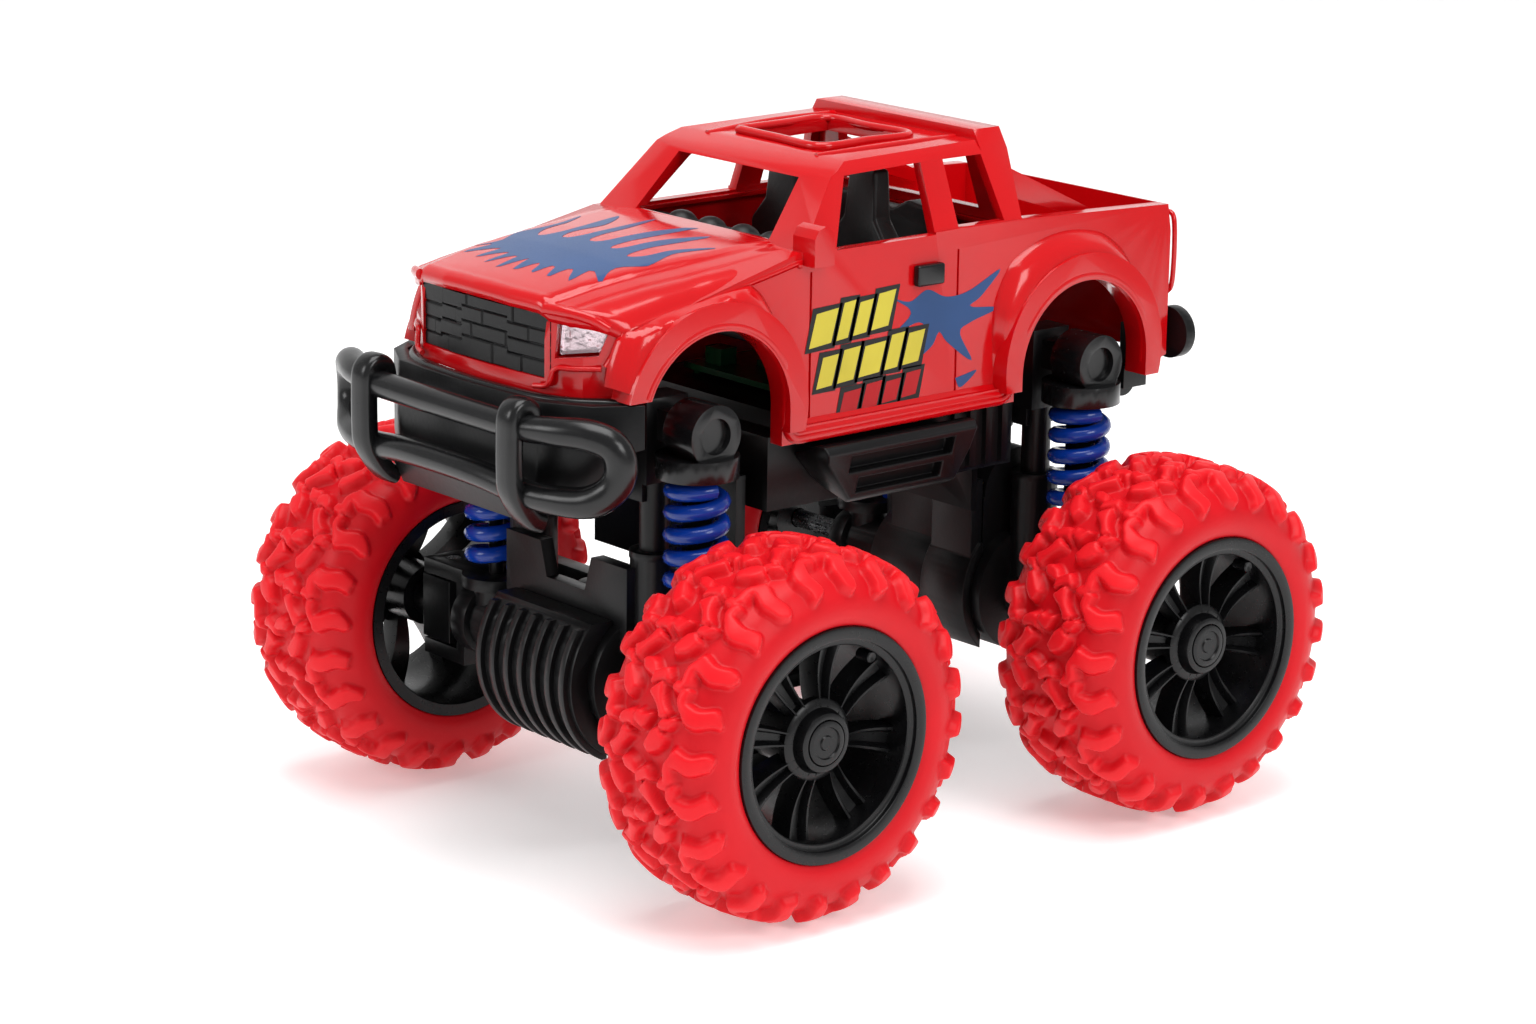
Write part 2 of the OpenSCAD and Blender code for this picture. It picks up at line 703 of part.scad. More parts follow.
// Coil spring swept along its helix, with flattened end turns
module coil_spring(side, y) {
    steps = 12;
    ring = 6;
    rw = spring_wire / 2;
    rc = spring_d / 2 - rw;
    low = cup_z + rw + 0.1;
    high = cap_z - rw - 0.1;
    n = spring_coils * steps;
    function height(t) = low + (high - low) * t;
    pts = [for (i = [0 : n], k = [0 : ring - 1])
        let (a = 360 * i / steps, b = 360 * k / ring, r = rc + rw * cos(b))
        [r * cos(a), r * sin(a), height(i / n) + rw * sin(b)]];
    sides = [for (i = [0 : n - 1], k = [0 : ring - 1])
        [i * ring + k, (i + 1) * ring + k, (i + 1) * ring + (k + 1) % ring, i * ring + (k + 1) % ring]];
    ends = [[for (k = [0 : ring - 1]) k], [for (k = [ring - 1 : -1 : 0]) n * ring + k]];
    color("#123a8c") translate([side * spring_x, y, 0]) polyhedron(points = pts, faces = concat(sides, ends));
}

module spring_front_left() { coil_spring(1, front_y); }
module spring_front_right() { coil_spring(-1, front_y); }
module spring_rear_left() { coil_spring(1, rear_y); }
module spring_rear_right() { coil_spring(-1, rear_y); }

module bumper_apron() {
    top = fascia_z - part_gap;
    half = [[0, nose_y + 8.5], [22, nose_y + 9.5], [31, nose_y + 14.5], [flare_h + 0.8, nose_y + 23]];
    inner = [[flare_h - 1.7, nose_y + 24], [29.5, nose_y + 16.8], [21, nose_y + 12], [0, nose_y + 11]];
    color("#1b1b1d") {
        both_sides() intersection() {
            translate([0, 0, sill_z - 10]) linear_extrude(top - sill_z + 10) polygon(concat(half, inner));
            across(flare_w + 10) polygon([
                [nose_y + 5, sill_z - 5], [nose_y + 12, sill_z - 6], [nose_y + 19, sill_z + 4],
                [nose_y + 25, sill_z + 6], [nose_y + 25, top], [nose_y + 5, top]
            ]);
        }
        // brackets back to the front rail
        both_sides() span([rail_half, nose_y + 11.5, rail_z + 2], [17, front_y - 17.8, sill_z - 2.6]);
        span([-17, nose_y + 11, rail_z + 2], [17, nose_y + 13.5, sill_z + 2]);
        // skid plate
        across(41) polygon([
            [nose_y + 9, floor_z + 5], [nose_y + 6, floor_z + 11], [nose_y + 9, floor_z + 13],
            [nose_y + 16, floor_z + 11.6], [nose_y + 16, floor_z + 7]
        ]);
    }
}

module bull_bar() {
    color("#1b1b1d") {
        both_sides() {
            // flat upright with a rounded head
            across_from(upright_x, upright_x + 5) polygon([
                [nose_y, sill_z], [nose_y, sill_z + 12.5], [nose_y + 1, sill_z + 14.6], [nose_y + 3, sill_z + 15.5],
                [nose_y + 5.4, sill_z + 14.6], [nose_y + 6.5, sill_z + 12.5], [nose_y + 6.5, sill_z - 1],
                [nose_y + 8.4, sill_z - 5], [nose_y + 8.4, floor_z + 5.5], [nose_y + 4.5, floor_z + 8]
            ]);
            // side loop that wraps round the corner
            bent_bar([
                [upright_x + 3, nose_y + 4, bar_top_z], [36, nose_y + 8, bar_top_z + 0.6],
                [42, nose_y + 12.5, bar_top_z - 1.5], [42.5, nose_y + 13, bar_low_z + 4],
                [37, nose_y + 9, bar_low_z - 1.4], [upright_x + 3, nose_y + 5, bar_low_z - 2]
            ], bar_r);
        }
        for (z = [bar_top_z, bar_low_z]) translate([0, nose_y + 3.6, z]) bar_x(bar_r, -upright_x - 1, upright_x + 1);
    }
}

// Step under the doors, leaning out at the top
module side_step() {
    front = mid_y - 22;
    rear = mid_y + 18;
    z = floor_z;
    difference() {
        intersection() {
            along(front, rear) polygon([
                [tub_half, z + 11], [tub_half, z + 4], [31, z + 0.5], [33, z + 1.6], [36, z + 12.2],
                [35, z + 13.6], [32.5, z + 13.6]
            ]);
            across(flare_w + 10) polygon([
                [front, z + 14], [rear, z + 14], [rear - 1, z + 8], [rear - 4, z], [front + 10, z], [front + 1, z + 10]
            ]);
        }
        // two foot slots
        along(front + 7, rear - 6) polygon([[32, z + 7.6], [33, z + 11], [37, z + 11], [36, z + 7.6]]);
        along(front + 10, rear - 8) polygon([[31, z + 3], [32, z + 6], [36, z + 6], [35, z + 3]]);
    }
}

module side_step_left() {
    color("#1b1b1d") side_step();
}

module side_step_right() {
    color("#1b1b1d") mirror([1, 0, 0]) side_step();
}

module rear_bumper() {
    color("#1b1b1d") {
        both_sides() {
            // tow knob: disc on a short neck
            translate([knob_x, 0, knob_z]) bar_y(5.4, tail_y - 2.6, tail_y);
            translate([neck_x, 0, knob_z]) bar_y(neck_r, tail_y - 12, tail_y - 2);
            // rounded corner pad
            span([19, tail_y - 15, sill_z - 3], [29.4, tail_y - 8.4, sill_z + 1.8]);
            translate([0, tail_y - 12, sill_z - 2]) bar_x(3.4, 18, 26.5);
            span([rail_half, tail_y - 12, sill_z - 8], [22, tail_y - 8.4, sill_z + 1.8]);
            span([25, tail_y - 12, sill_z], [29.4, tail_y - 8.4, knob_z + 2.6]);
        }
        span([-22, tail_y - 12, sill_z - 2 + part_gap], [22, tail_y - 8.4, sill_z + 1.8]);
    }
}

// ---------- electrics ----------

module battery_cells() {
    color("#5b6f52") for (x = [-cell_d - 0.4, 0, cell_d + 0.4]) translate([x, 0, floor_z + tub_wall + 0.4 + cell_d / 2]) {
        bar_y(cell_d / 2, door_front_y + 2.6, door_front_y + 2.6 + cell_l - 1);
        bar_y(2.6, door_front_y + 2.6 + cell_l - 1, door_front_y + 2.6 + cell_l);
    }
}

module battery_contacts() {
    z = floor_z + tub_wall + 0.4 + cell_d / 2;
    color("#c8c9cc") for (x = [-cell_d - 0.4, 0, cell_d + 0.4]) {
        span([x - 5, door_front_y, z - 5], [x + 5, door_front_y + 0.5, z + 5]);
        translate([x, 0, z]) bar_y(2.6, door_front_y + 0.5, door_front_y + 2.6);
        span([x - 5, door_rear_y - 0.5, z - 5], [x + 5, door_rear_y, z + 5]);
        translate([x, 0, z]) bar_y(1.6, door_front_y + 2.6 + cell_l, door_rear_y - 0.5);
    }
}

module battery_door() {
    color("#1b1b1d") difference() {
        union() {
            span([-door_half, door_front_y, floor_z], [door_half, door_rear_y, floor_z + tub_wall - 0.2]);
            translate([0, door_rear_y, floor_z]) bar_x(hinge_r, -hinge_half, hinge_half);
            // tab for the screw
            span([-6, latch_y - 3, floor_z - 1.4], [6, door_front_y + 6, floor_z - part_gap]);
            span([-6, door_front_y + 0.5, floor_z - 1.4], [6, door_front_y + 6, floor_z + 1]);
        }
        translate([0, latch_y, floor_z - 2]) cylinder(r = 1, h = 4);
    }
}

module battery_door_screw() {
    color("#9a9a9c") translate([0, latch_y, 0]) {
        difference() {
            translate([0, 0, floor_z - 2.4]) cylinder(r = 2, h = 1);
            translate([-1.5, -0.3, floor_z - 3]) cube([3, 0.6, 1]);
            translate([-0.3, -1.5, floor_z - 3]) cube([0.6, 3, 1]);
        }
        translate([0, 0, floor_z - 1.4]) cylinder(r = 1, h = 5.4);
    }
}

module receiver_board() {
    z = box_top_z + 1;
    color("#1f6b3a") {
        span([-17, mid_y - 14, z], [17, mid_y + 14, z + 1.2]);
        span([-5, mid_y - 5, z + 1.2], [5, mid_y + 3, z + 2.6]);
        span([-14, mid_y - 11, z + 1.2], [-9, mid_y - 7, z + 4.6]);
        translate([10, mid_y + 8, z + 1.2]) cylinder(r = 2.4, h = 5);
        // pegs on the battery box
        both_sides() for (y = [mid_y - 12, mid_y + 11]) translate([15, y, box_top_z]) cylinder(r = 1, h = 1);
    }
}

module power_switch_case() {
    color("#2b2b2e") difference() {
        span([switch_x - 6, latch_y - 2.2, floor_z + 1.4], [switch_x + 6, latch_y + 2.2, floor_z + 6.2]);
        span([switch_x - 4.3, latch_y - 1.3, floor_z + 1], [switch_x + 4.3, latch_y + 1.3, floor_z + 4]);
    }
}

module power_switch_knob() {
    color("#c01a20") span([switch_x - 3.6, latch_y - 0.9, floor_z - 1.2], [switch_x - 0.6, latch_y + 0.9, floor_z + 3.4]);
}

// ---------- axles ----------

// Round posts that slide on the guide rods, with two raised rings
module guide_posts() {
    both_sides() translate([guide_x, 0, 0]) {
        translate([0, 0, axle_z]) cylinder(r = post_r, h = post_top_z - axle_z);
        translate([0, 0, post_top_z - 1.4]) cylinder(r = post_r + 0.2, h = 1.4);
    }
}

module guide_bores() {
    both_sides() translate([guide_x, 0, axle_z + 8 - bump - 0.6])
        cylinder(r = guide_r + run_gap, h = 40);
}

// Seats for the lower ends of the springs
module spring_cups() {
    both_sides() {
        translate([spring_x, 0, axle_z]) cylinder(r = 4.6, h = cup_z - axle_z);
        translate([spring_x, 0, cup_z - 2.4]) cylinder(r = cap_r - 1, h = 2.4);
    }
}

// Web with the U-shaped notch between the posts
module notched_web(y) {
    along(y, y + 3) polygon([
        [-guide_x, axle_z + 6], [-guide_x, post_top_z - 3], [-8, post_top_z - 3], [-6, post_top_z - 10], [6, post_top_z - 10],
        [8, post_top_z - 3], [guide_x, post_top_z - 3], [guide_x, axle_z + 6]
    ]);
}

module shock_rods(y) {
    color("#b9babd") both_sides() translate([spring_x, y, cup_z - 4]) cylinder(r = rod_r, h = 26);
}

module front_shock_rods() { shock_rods(front_y); }
module rear_shock_rods() { shock_rods(rear_y); }

module shock_rod_sockets() {
    both_sides() translate([spring_x, 0, cup_z - 4]) cylinder(r = rod_r, h = 6);
}

module front_axle_case() {
    yoke = kingpin_x + 4;
    color("#19191b") translate([0, front_y, 0]) difference() {
        union() {
            translate([0, 0, axle_z]) {
                bar_x(tube_outer_r, -36, 36);
                bar_x(case_r, -guide_x + 2, guide_x - 2);
                both_sides() bar_x(7.5, 32.5, 37);
            }
            guide_posts();
            spring_cups();
            notched_web(-6.8);
            // forked ends that hold the kingpins
            both_sides() for (z = [axle_z - 10, axle_z + 7]) span([kingpin_x - 9.5, -4.5, z], [yoke, 4.5, z + 3]);
            both_sides() span([kingpin_x - 9.5, -4.5, axle_z - 10], [kingpin_x - 7, 4.5, axle_z + 10]);
        }
        guide_bores();
        shock_rod_sockets();
        // steering magnet chamber, open to the front where the cover goes
        translate([0, 0, axle_z]) bar_x(case_r - 2, -13, 13);
        span([-13, -case_r - 1, axle_z - 9], [13, -6, axle_z + 7]);
        // steering arm shaft and kingpins
        translate([0, 0, axle_z]) cylinder(r = 2 + run_gap, h = case_r + 12);
        both_sides() translate([kingpin_x, 0, axle_z - 11]) cylinder(r = kingpin_r, h = 22);
    }
}

// Ribbed cover over the front of the axle case
module front_axle_cover() {
    color("#19191b") translate([0, front_y, axle_z]) {
        difference() {
            intersection() {
                bar_x(case_r + 4, -15, 15);
                span([-15, -20, -15], [15, -7.2, 12]);
            }
            bar_x(case_r + part_gap / 3, -16, 16);
        }
        // spigot into the opening
        difference() {
            intersection() {
                bar_x(case_r + 1, -12.8, 12.8);
                span([-12.8, -20, -8.8], [12.8, -9, 6.8]);
            }
            bar_x(case_r - 2.2, -14, 14);
        }
        // seven cooling ribs
        for (i = [-3 : 3]) difference() {
            intersection() {
                translate([i * 4.4 - 0.8, 0, 0]) bar_x(case_r + 5.2, 0, 1.6);
                span([-16, -20, -16], [16, -7.5, 11]);
            }
            bar_x(case_r + part_gap / 3, -16, 16);
        }
    }
}

module steering_coil() {
    color("#b3703a") translate([0, front_y, axle_z]) difference() {
        bar_x(8.6, -12, 12);
        bar_x(9, -7, 7);
    }
}

module kingpins() {
    color("#b9babd") both_sides() translate([kingpin_x, front_y, axle_z - 10]) cylinder(r = kingpin_r, h = 20);
}

// Lever on top of the case, turned by the magnet between the two coils
module steering_arm() {
    color("#2b2b2e") translate([0, front_y, 0]) {
        translate([0, 0, axle_z - 5]) cylinder(r = 2, h = arm_z - axle_z + 7.4);
        translate([0, 0, axle_z - 5]) cylinder(r = 5, h = 10);
        span([-2, 0, arm_z + 0.4], [2, steer_arm, arm_z + 2.4]);
        translate([0, 0, arm_z + 0.4]) cylinder(r = 3, h = 2);
        translate([0, steer_arm, arm_z + 0.4]) cylinder(r = 2, h = 2);
        translate([0, steer_arm, arm_z - 5]) cylinder(r = 1.2, h = 6);
    }
}

module tie_rod() {
    color("#2b2b2e") translate([0, front_y + steer_arm, rod_z]) difference() {
        union() {
            span([-kingpin_x - 3, -1.9, 0], [kingpin_x + 3, 1.9, 2.4]);
            for (x = [-kingpin_x, 0, kingpin_x]) translate([x, 0, 0]) cylinder(r = 2.8, h = 2.4);
        }
        // slots that let the pins swing
        for (x = [-kingpin_x, 0, kingpin_x]) span([x - 1.5, -2, -1], [x + 1.5, 1.8, 4]);
    }
}

module knuckle() {
    translate([kingpin_x, front_y, axle_z]) difference() {
        union() {
            span([-4.5, -4.5, -6.6], [4.5, 4.5, 6.6]);
            bar_x(4.2, 4, 8.4);
            // steering arm with its pin
            span([-2.2, 2, 3.4], [2.2, steer_arm, 6.2]);
            translate([0, steer_arm, 3.4]) cylinder(r = 2.2, h = 2.8);
            translate([0, steer_arm, 5]) cylinder(r = 1.2, h = 7);
        }
        translate([0, 0, -10]) cylinder(r = kingpin_r + run_gap, h = 20);
        bar_x(shaft_r, 2.6, 12);
    }
}

module knuckle_left() {
    color("#2b2b2e") knuckle();
}

module knuckle_right() {
    color("#2b2b2e") mirror([1, 0, 0]) knuckle();
}

module stub_axle() {
    translate([0, front_y, axle_z]) bar_x(shaft_r, kingpin_x + 2.6, stub_end_x);
}

module stub_axle_left() {
    color("#b9babd") stub_axle();
}

module stub_axle_right() {
    color("#b9babd") mirror([1, 0, 0]) stub_axle();
}

module rear_axle_case() {
    top_z = motor_z + motor_d / 2 + 1.8;
    color("#19191b") translate([0, rear_y, 0]) difference() {
        union() {
            translate([0, 0, axle_z]) {
                bar_x(tube_outer_r, -38, 38);
                bar_x(case_r, -guide_x + 2, guide_x - 2);
                both_sides() bar_x(7.5, 32.5, 36);
            }
            guide_posts();
            spring_cups();
            notched_web(3);
            span([-14, -chamber_half, axle_z], [14, chamber_half, motor_z]);
            translate([0, 0, motor_z]) bar_x(motor_d / 2 + 1.8, -14, 14);
        }
        guide_bores();
        shock_rod_sockets();
        // motor and gear chamber, open to the front where the cover goes
        translate([0, 0, motor_z]) bar_x(motor_d / 2, -13.2, 3.6);
        translate([0, 0, motor_z]) bar_x(pinion_r + 2, 3, 13);
        translate([0, 0, reduction_z]) bar_x(reduction_r + 1.4, 4.2, 13);
        translate([0, 0, axle_z]) bar_x(axle_gear_r + 1.6, 4.2, 9);
        span([4.2, -case_r - 1, axle_z - 9], [13, 0, motor_z + 3]);
        // axle shaft and reduction shaft
        translate([0, 0, axle_z]) bar_x(shaft_r + run_gap, -45, 45);
        translate([0, 0, reduction_z]) bar_x(pin_r + run_gap, 2.6, 14.2);
    }
}

// Stepped cover over the gears
module rear_axle_cover() {
    color("#19191b") translate([0, rear_y, 0]) {
        difference() {
            union() {
                translate([4.5, 0, 0]) intersection() {
                    translate([0, 0, axle_z]) bar_x(case_r + 2.4, -3, 10);
                    span([-4, -18, axle_z - 12], [11, -chamber_half - part_gap, axle_z + 11]);
                }
                span([2, -chamber_half - 3.4, axle_z + 6], [14, -chamber_half - part_gap, motor_z + 4]);
            }
            translate([0, 0, axle_z]) bar_x(case_r + part_gap / 3, -2, 16);
        }
    }
}

module drive_motor() {
    color("#a9abae") translate([0, rear_y, motor_z]) {
        difference() {
            bar_x(motor_d / 2, -13.2, 3.4);
            // flats of the motor can
            for (s = SIDES) span([-14, s > 0 ? motor_d * 0.42 : -motor_d, -motor_d], [4, s > 0 ? motor_d : -motor_d * 0.42, motor_d]);
        }
        bar_x(2.6, 3.4, 4);
    }
}

module motor_pinion() {
    color("#c9a24a") translate([0, rear_y, motor_z]) {
        translate([reduction_x, 0, 0]) gear_x_axis(pinion_teeth, gear_face, pin_r, 0);
        bar_x(pin_r, 4.2, reduction_x + gear_face);
    }
}

module reduction_gear() {
    color("#e6e2d8") translate([0, rear_y, reduction_z]) {
        translate([reduction_x, 0, 0]) gear_x_axis(reduction_teeth, gear_face, pin_r, 180 / reduction_teeth);
        translate([gear_x, 0, 0]) gear_x_axis(small_teeth, gear_face + 0.5, pin_r, 0);
        bar_x(pin_r, 2.8, 14);
    }
}

module rear_axle_shaft() {
    color("#b9babd") translate([0, rear_y, axle_z]) bar_x(shaft_r, -stub_end_x, stub_end_x);
}

module axle_gear() {
    color("#e6e2d8") translate([gear_x, rear_y, axle_z])
        gear_x_axis(axle_teeth, gear_face, shaft_r, 180 / axle_teeth);
}

// ---------- wheels ----------

// Everything below is drawn for the left side, with the wheel's middle plane at x = wheel_x
module tyre() {
    r = tyre_d / 2;
    h = tyre_w / 2;
    module slab(from, to, count, shift, outer, root) {
        rotate([0, 90, 0]) translate([0, 0, from]) linear_extrude(to - from) difference() {
            polygon([for (i = [0 : count - 1], k = [0 : 3])
                let (a = 360 / count * (i + shift + [0, 0.12, 0.5, 0.62][k]), q = (k == 1 || k == 2) ? outer : root)
                [q * cos(a), q * sin(a)]]);
            circle(r = rim_r, $fn = 96);
        }
    }
    difference() {
        union() {
            // carcass
            rotate([0, 90, 0]) rotate_extrude($fn = 96) polygon([
                [rim_r, -h + 0.4], [rim_r + 5, -h], [r - 5.6, -h], [r - 3, -h + 3], [r - 2.4, 0], [r - 3, h - 3],
                [r - 5.6, h], [rim_r + 5, h], [rim_r, h - 0.4]
            ]);
            slab(-h + 1.4, -h * 0.4, lug_count, 0, r - 0.6, r - 4);
            slab(-h * 0.38, h * 0.38, lug_count, 0.4, r, r - 4);
            slab(h * 0.4, h - 1.4, lug_count, 0, r - 0.6, r - 4);
        }
        // air space inside, closed by the rim
        rotate([0, 90, 0]) rotate_extrude($fn = 96) polygon([
            [rim_r - 1, -h + 5], [rim_r + 2, -h + 5], [rim_r + 4, -h + tyre_skin], [r - 8, -h + tyre_skin],
            [r - 6, -h + 5], [r - 6, h - 5], [r - 8, h - tyre_skin], [rim_r + 4, h - tyre_skin],
            [rim_r + 2, h - 5], [rim_r - 1, h - 5]
        ]);
    }
}

module place_wheel(side, y) {
    scale_x(side) translate([wheel_x, y, axle_z]) children();
}

module rim(bore_r) {
    w = rim_w / 2;
    face = w - 3.5;
    difference() {
        union() {
            // barrel with bead lips
            rotate([0, 90, 0]) rotate_extrude($fn = 96) polygon([
                [rim_r - rim_wall, -w], [rim_r, -w], [rim_r, w], [rim_r - 1.2, w + 0.4], [rim_r - rim_wall - 0.6, w],
                [rim_r - rim_wall - 0.6, w - 3], [rim_r - rim_wall, w - 4]
            ]);
            // hub and its ring
            bar_x(hub_r, -2, face + 1);
            bar_x(hub_r + 2.4, face - 7, face - 4.6);
            // spokes: pairs that spread towards the barrel
            for (i = [0 : spoke_count - 1]) rotate([360 / spoke_count * i, 0, 0]) for (s = SIDES)
                rotate([s * 5, 0, 0]) across_from(face - 8, face - 2)
                    polygon([[-0.9, hub_r - 1], [0.9, hub_r - 1], [0.9, rim_r - rim_wall + 0.4], [-0.9, rim_r - rim_wall + 0.4]]);
        }
        bar_x(bore_r, -w, w + 5);
        // pocket for the hub cap
        bar_x(hub_r - 1.6, face - 0.6, face + 3);
    }
}

module hub_cap() {
    face = rim_w / 2 - 3.5;
    bar_x(hub_r - 1.6 - 0.1, face + 0.2, face + 1.6);
}

module tyre_front_left() { color("#e0141c") place_wheel(1, front_y) tyre(); }
module tyre_front_right() { color("#e0141c") place_wheel(-1, front_y) tyre(); }
module tyre_rear_left() { color("#e0141c") place_wheel(1, rear_y) tyre(); }
module tyre_rear_right() { color("#e0141c") place_wheel(-1, rear_y) tyre(); }
module rim_front_left() { color("#161618") place_wheel(1, front_y) rim(shaft_r + run_gap); }
module rim_front_right() { color("#161618") place_wheel(-1, front_y) rim(shaft_r + run_gap); }
module rim_rear_left() { color("#161618") place_wheel(1, rear_y) rim(shaft_r); }
module rim_rear_right() { color("#161618") place_wheel(-1, rear_y) rim(shaft_r); }
module hub_cap_front_left() { color("#161618") place_wheel(1, front_y) hub_cap(); }
module hub_cap_front_right() { color("#161618") place_wheel(-1, front_y) hub_cap(); }
module hub_caps_rear() { color("#161618") for (s = SIDES) place_wheel(s, rear_y) hub_cap(); }

// ---------- draw ----------

body_shell();
grille_insert();
headlight_reflectors();
headlight_lenses();
door_handles();
cabin_tray();
dashboard();
steering_wheel();
front_seats();
rear_seat();
body_screws();
chassis_tub();
bumper_apron();
bull_bar();
side_step_left();
side_step_right();
rear_bumper();
guide_rods();
shock_tops();
battery_cells();
battery_contacts();
receiver_board();
power_switch_case();
power_switch_knob();
battery_door();
battery_door_screw();
spring_front_left();
spring_front_right();
spring_rear_left();
spring_rear_right();
front_axle_case();
front_axle_cover();
front_shock_rods();
steering_coil();
kingpins();
steering_arm();
tie_rod();
knuckle_left();
knuckle_right();
stub_axle_left();
stub_axle_right();
tyre_front_left();
rim_front_left();
hub_cap_front_left();
tyre_front_right();
rim_front_right();
hub_cap_front_right();
rear_axle_case();
rear_axle_cover();
rear_shock_rods();
drive_motor();
motor_pinion();
reduction_gear();
rear_axle_shaft();
axle_gear();
tyre_rear_left();
rim_rear_left();
tyre_rear_right();
rim_rear_right();
hub_caps_rear();
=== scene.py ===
import json
import math

import bmesh
import bpy
import numpy as np
from mathutils import Matrix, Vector
from mathutils.geometry import delaunay_2d_cdt

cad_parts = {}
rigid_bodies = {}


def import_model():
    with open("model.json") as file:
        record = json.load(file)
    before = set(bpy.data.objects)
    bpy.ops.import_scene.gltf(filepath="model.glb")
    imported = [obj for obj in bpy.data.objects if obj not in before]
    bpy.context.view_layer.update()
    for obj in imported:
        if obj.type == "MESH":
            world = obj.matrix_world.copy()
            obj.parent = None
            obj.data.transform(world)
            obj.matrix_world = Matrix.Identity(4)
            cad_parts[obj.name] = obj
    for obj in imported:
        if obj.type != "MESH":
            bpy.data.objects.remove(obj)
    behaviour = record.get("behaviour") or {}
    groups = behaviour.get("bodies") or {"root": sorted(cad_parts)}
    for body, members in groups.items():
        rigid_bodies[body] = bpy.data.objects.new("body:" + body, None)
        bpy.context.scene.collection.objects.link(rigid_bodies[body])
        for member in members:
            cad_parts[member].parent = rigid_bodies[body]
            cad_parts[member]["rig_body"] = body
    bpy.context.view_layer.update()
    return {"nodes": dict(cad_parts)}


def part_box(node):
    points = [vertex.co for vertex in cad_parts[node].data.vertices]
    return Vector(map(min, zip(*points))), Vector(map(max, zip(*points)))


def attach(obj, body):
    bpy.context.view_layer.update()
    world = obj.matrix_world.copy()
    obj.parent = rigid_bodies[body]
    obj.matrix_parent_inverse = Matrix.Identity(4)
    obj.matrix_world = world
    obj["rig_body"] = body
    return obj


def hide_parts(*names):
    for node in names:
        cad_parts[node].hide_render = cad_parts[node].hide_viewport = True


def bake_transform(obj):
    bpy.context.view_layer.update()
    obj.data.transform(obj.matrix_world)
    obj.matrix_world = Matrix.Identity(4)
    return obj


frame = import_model()

# ---------- camera ----------
# A long lens a little above the bonnet, looking at the front left corner of the truck, as a
# table-top view of a toy this size is taken.
CAMERA_PLACE = (0.599, -0.519, 0.268)
LOOK_SIDEWAYS, LOOK_DOWN, LENS_ROLL = (math.radians(a) for a in (49.313, 14.887, 0.837))
lens = bpy.data.cameras.new("table_camera")
lens.lens, lens.sensor_width, lens.clip_start = 95.0, 36.0, 0.02
camera = bpy.data.objects.new("table_camera", lens)
bpy.context.scene.collection.objects.link(camera)
sine, cosine = math.sin(LOOK_SIDEWAYS), math.cos(LOOK_SIDEWAYS)
back = np.array([sine * math.cos(LOOK_DOWN), -cosine * math.cos(LOOK_DOWN), math.sin(LOOK_DOWN)])
right = np.array([cosine, sine, 0.0])
up = np.cross(back, right)
turned_right = math.cos(LENS_ROLL) * right + math.sin(LENS_ROLL) * up
turned_up = -math.sin(LENS_ROLL) * right + math.cos(LENS_ROLL) * up
camera.matrix_world = Matrix([
    [*map(float, row), place]
    for row, place in zip(np.stack([turned_right, turned_up, back], 1), CAMERA_PLACE)
] + [[0, 0, 0, 1]])
bpy.context.scene.camera = camera
bpy.context.scene.view_settings.view_transform = "Standard"

# ---------- tyres ----------
# Four hollow vinyl tyres. Each has a smooth band above the rim, a ring of finger lugs on both
# shoulders, long and short in turn, and uneven blocks between them.
MM = 0.001  # lengths are in millimetres, and a mesh is in metres


def mesh_of(name, grids):
    """One mesh from several grids of points. In a grid, each point is joined to its neighbours
    in the next row and column; wrapped rows or columns join the last to the first, and a capped
    grid gets a face over its first and its last row."""
    points, faces, start = [], [], 0
    for grid, wrap_rows, wrap_columns, capped in grids:
        rows, columns = grid.shape[:2]
        i = np.arange(rows if wrap_rows else rows - 1)[:, None]
        j = np.arange(columns if wrap_columns else columns - 1)[None, :]
        down, over = (i + 1) % rows, (j + 1) % columns
        quads = np.stack([i * columns + j, i * columns + over, down * columns + over,
                          down * columns + j], -1).reshape(-1, 4) + start
        faces += quads.tolist()
        if capped:
            faces.append((np.arange(columns)[::-1] + start).tolist())
            faces.append((np.arange(columns) + (rows - 1) * columns + start).tolist())
        points.append(grid.reshape(-1, 3))
        start += rows * columns
    mesh = bpy.data.meshes.new(name)
    mesh.from_pydata((np.concatenate(points) * MM).tolist(), [], faces)
    return mesh


def piece(name, grids, material, body, replaces=(), sharp=40):
    """A new piece in its place: welded, faces outwards, smooth up to the sharp angle."""
    mesh = mesh_of(name, grids)
    work = bmesh.new()
    work.from_mesh(mesh)
    bmesh.ops.remove_doubles(work, verts=work.verts, dist=1e-6)
    bmesh.ops.recalc_face_normals(work, faces=work.faces)
    work.to_mesh(mesh)
    work.free()
    return placed(name, mesh, material, body, replaces, sharp)


def placed(name, mesh, material, body, replaces=(), sharp=40):
    """A mesh as a smooth-shaded piece with its finish, riding on its body."""
    mesh.materials.append(material)
    mesh.polygons.foreach_set("use_smooth", np.ones(len(mesh.polygons), bool))
    mesh.set_sharp_from_angle(angle=math.radians(sharp))
    made = bpy.data.objects.new(name, mesh)
    bpy.context.scene.collection.objects.link(made)
    if body:
        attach(made, body)
    if replaces:
        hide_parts(*replaces)
    return made


def turned(profile, centre, side=1, count=96):
    """A profile of (x, radius) points carried round the x axis through a centre."""
    x, r = np.array(profile, float).T
    a = np.linspace(0, 2 * np.pi, count, endpoint=False)[:, None]
    return np.stack([centre[0] + side * x + 0 * a, centre[1] + r * np.sin(a),
                     centre[2] + r * np.cos(a)], -1)


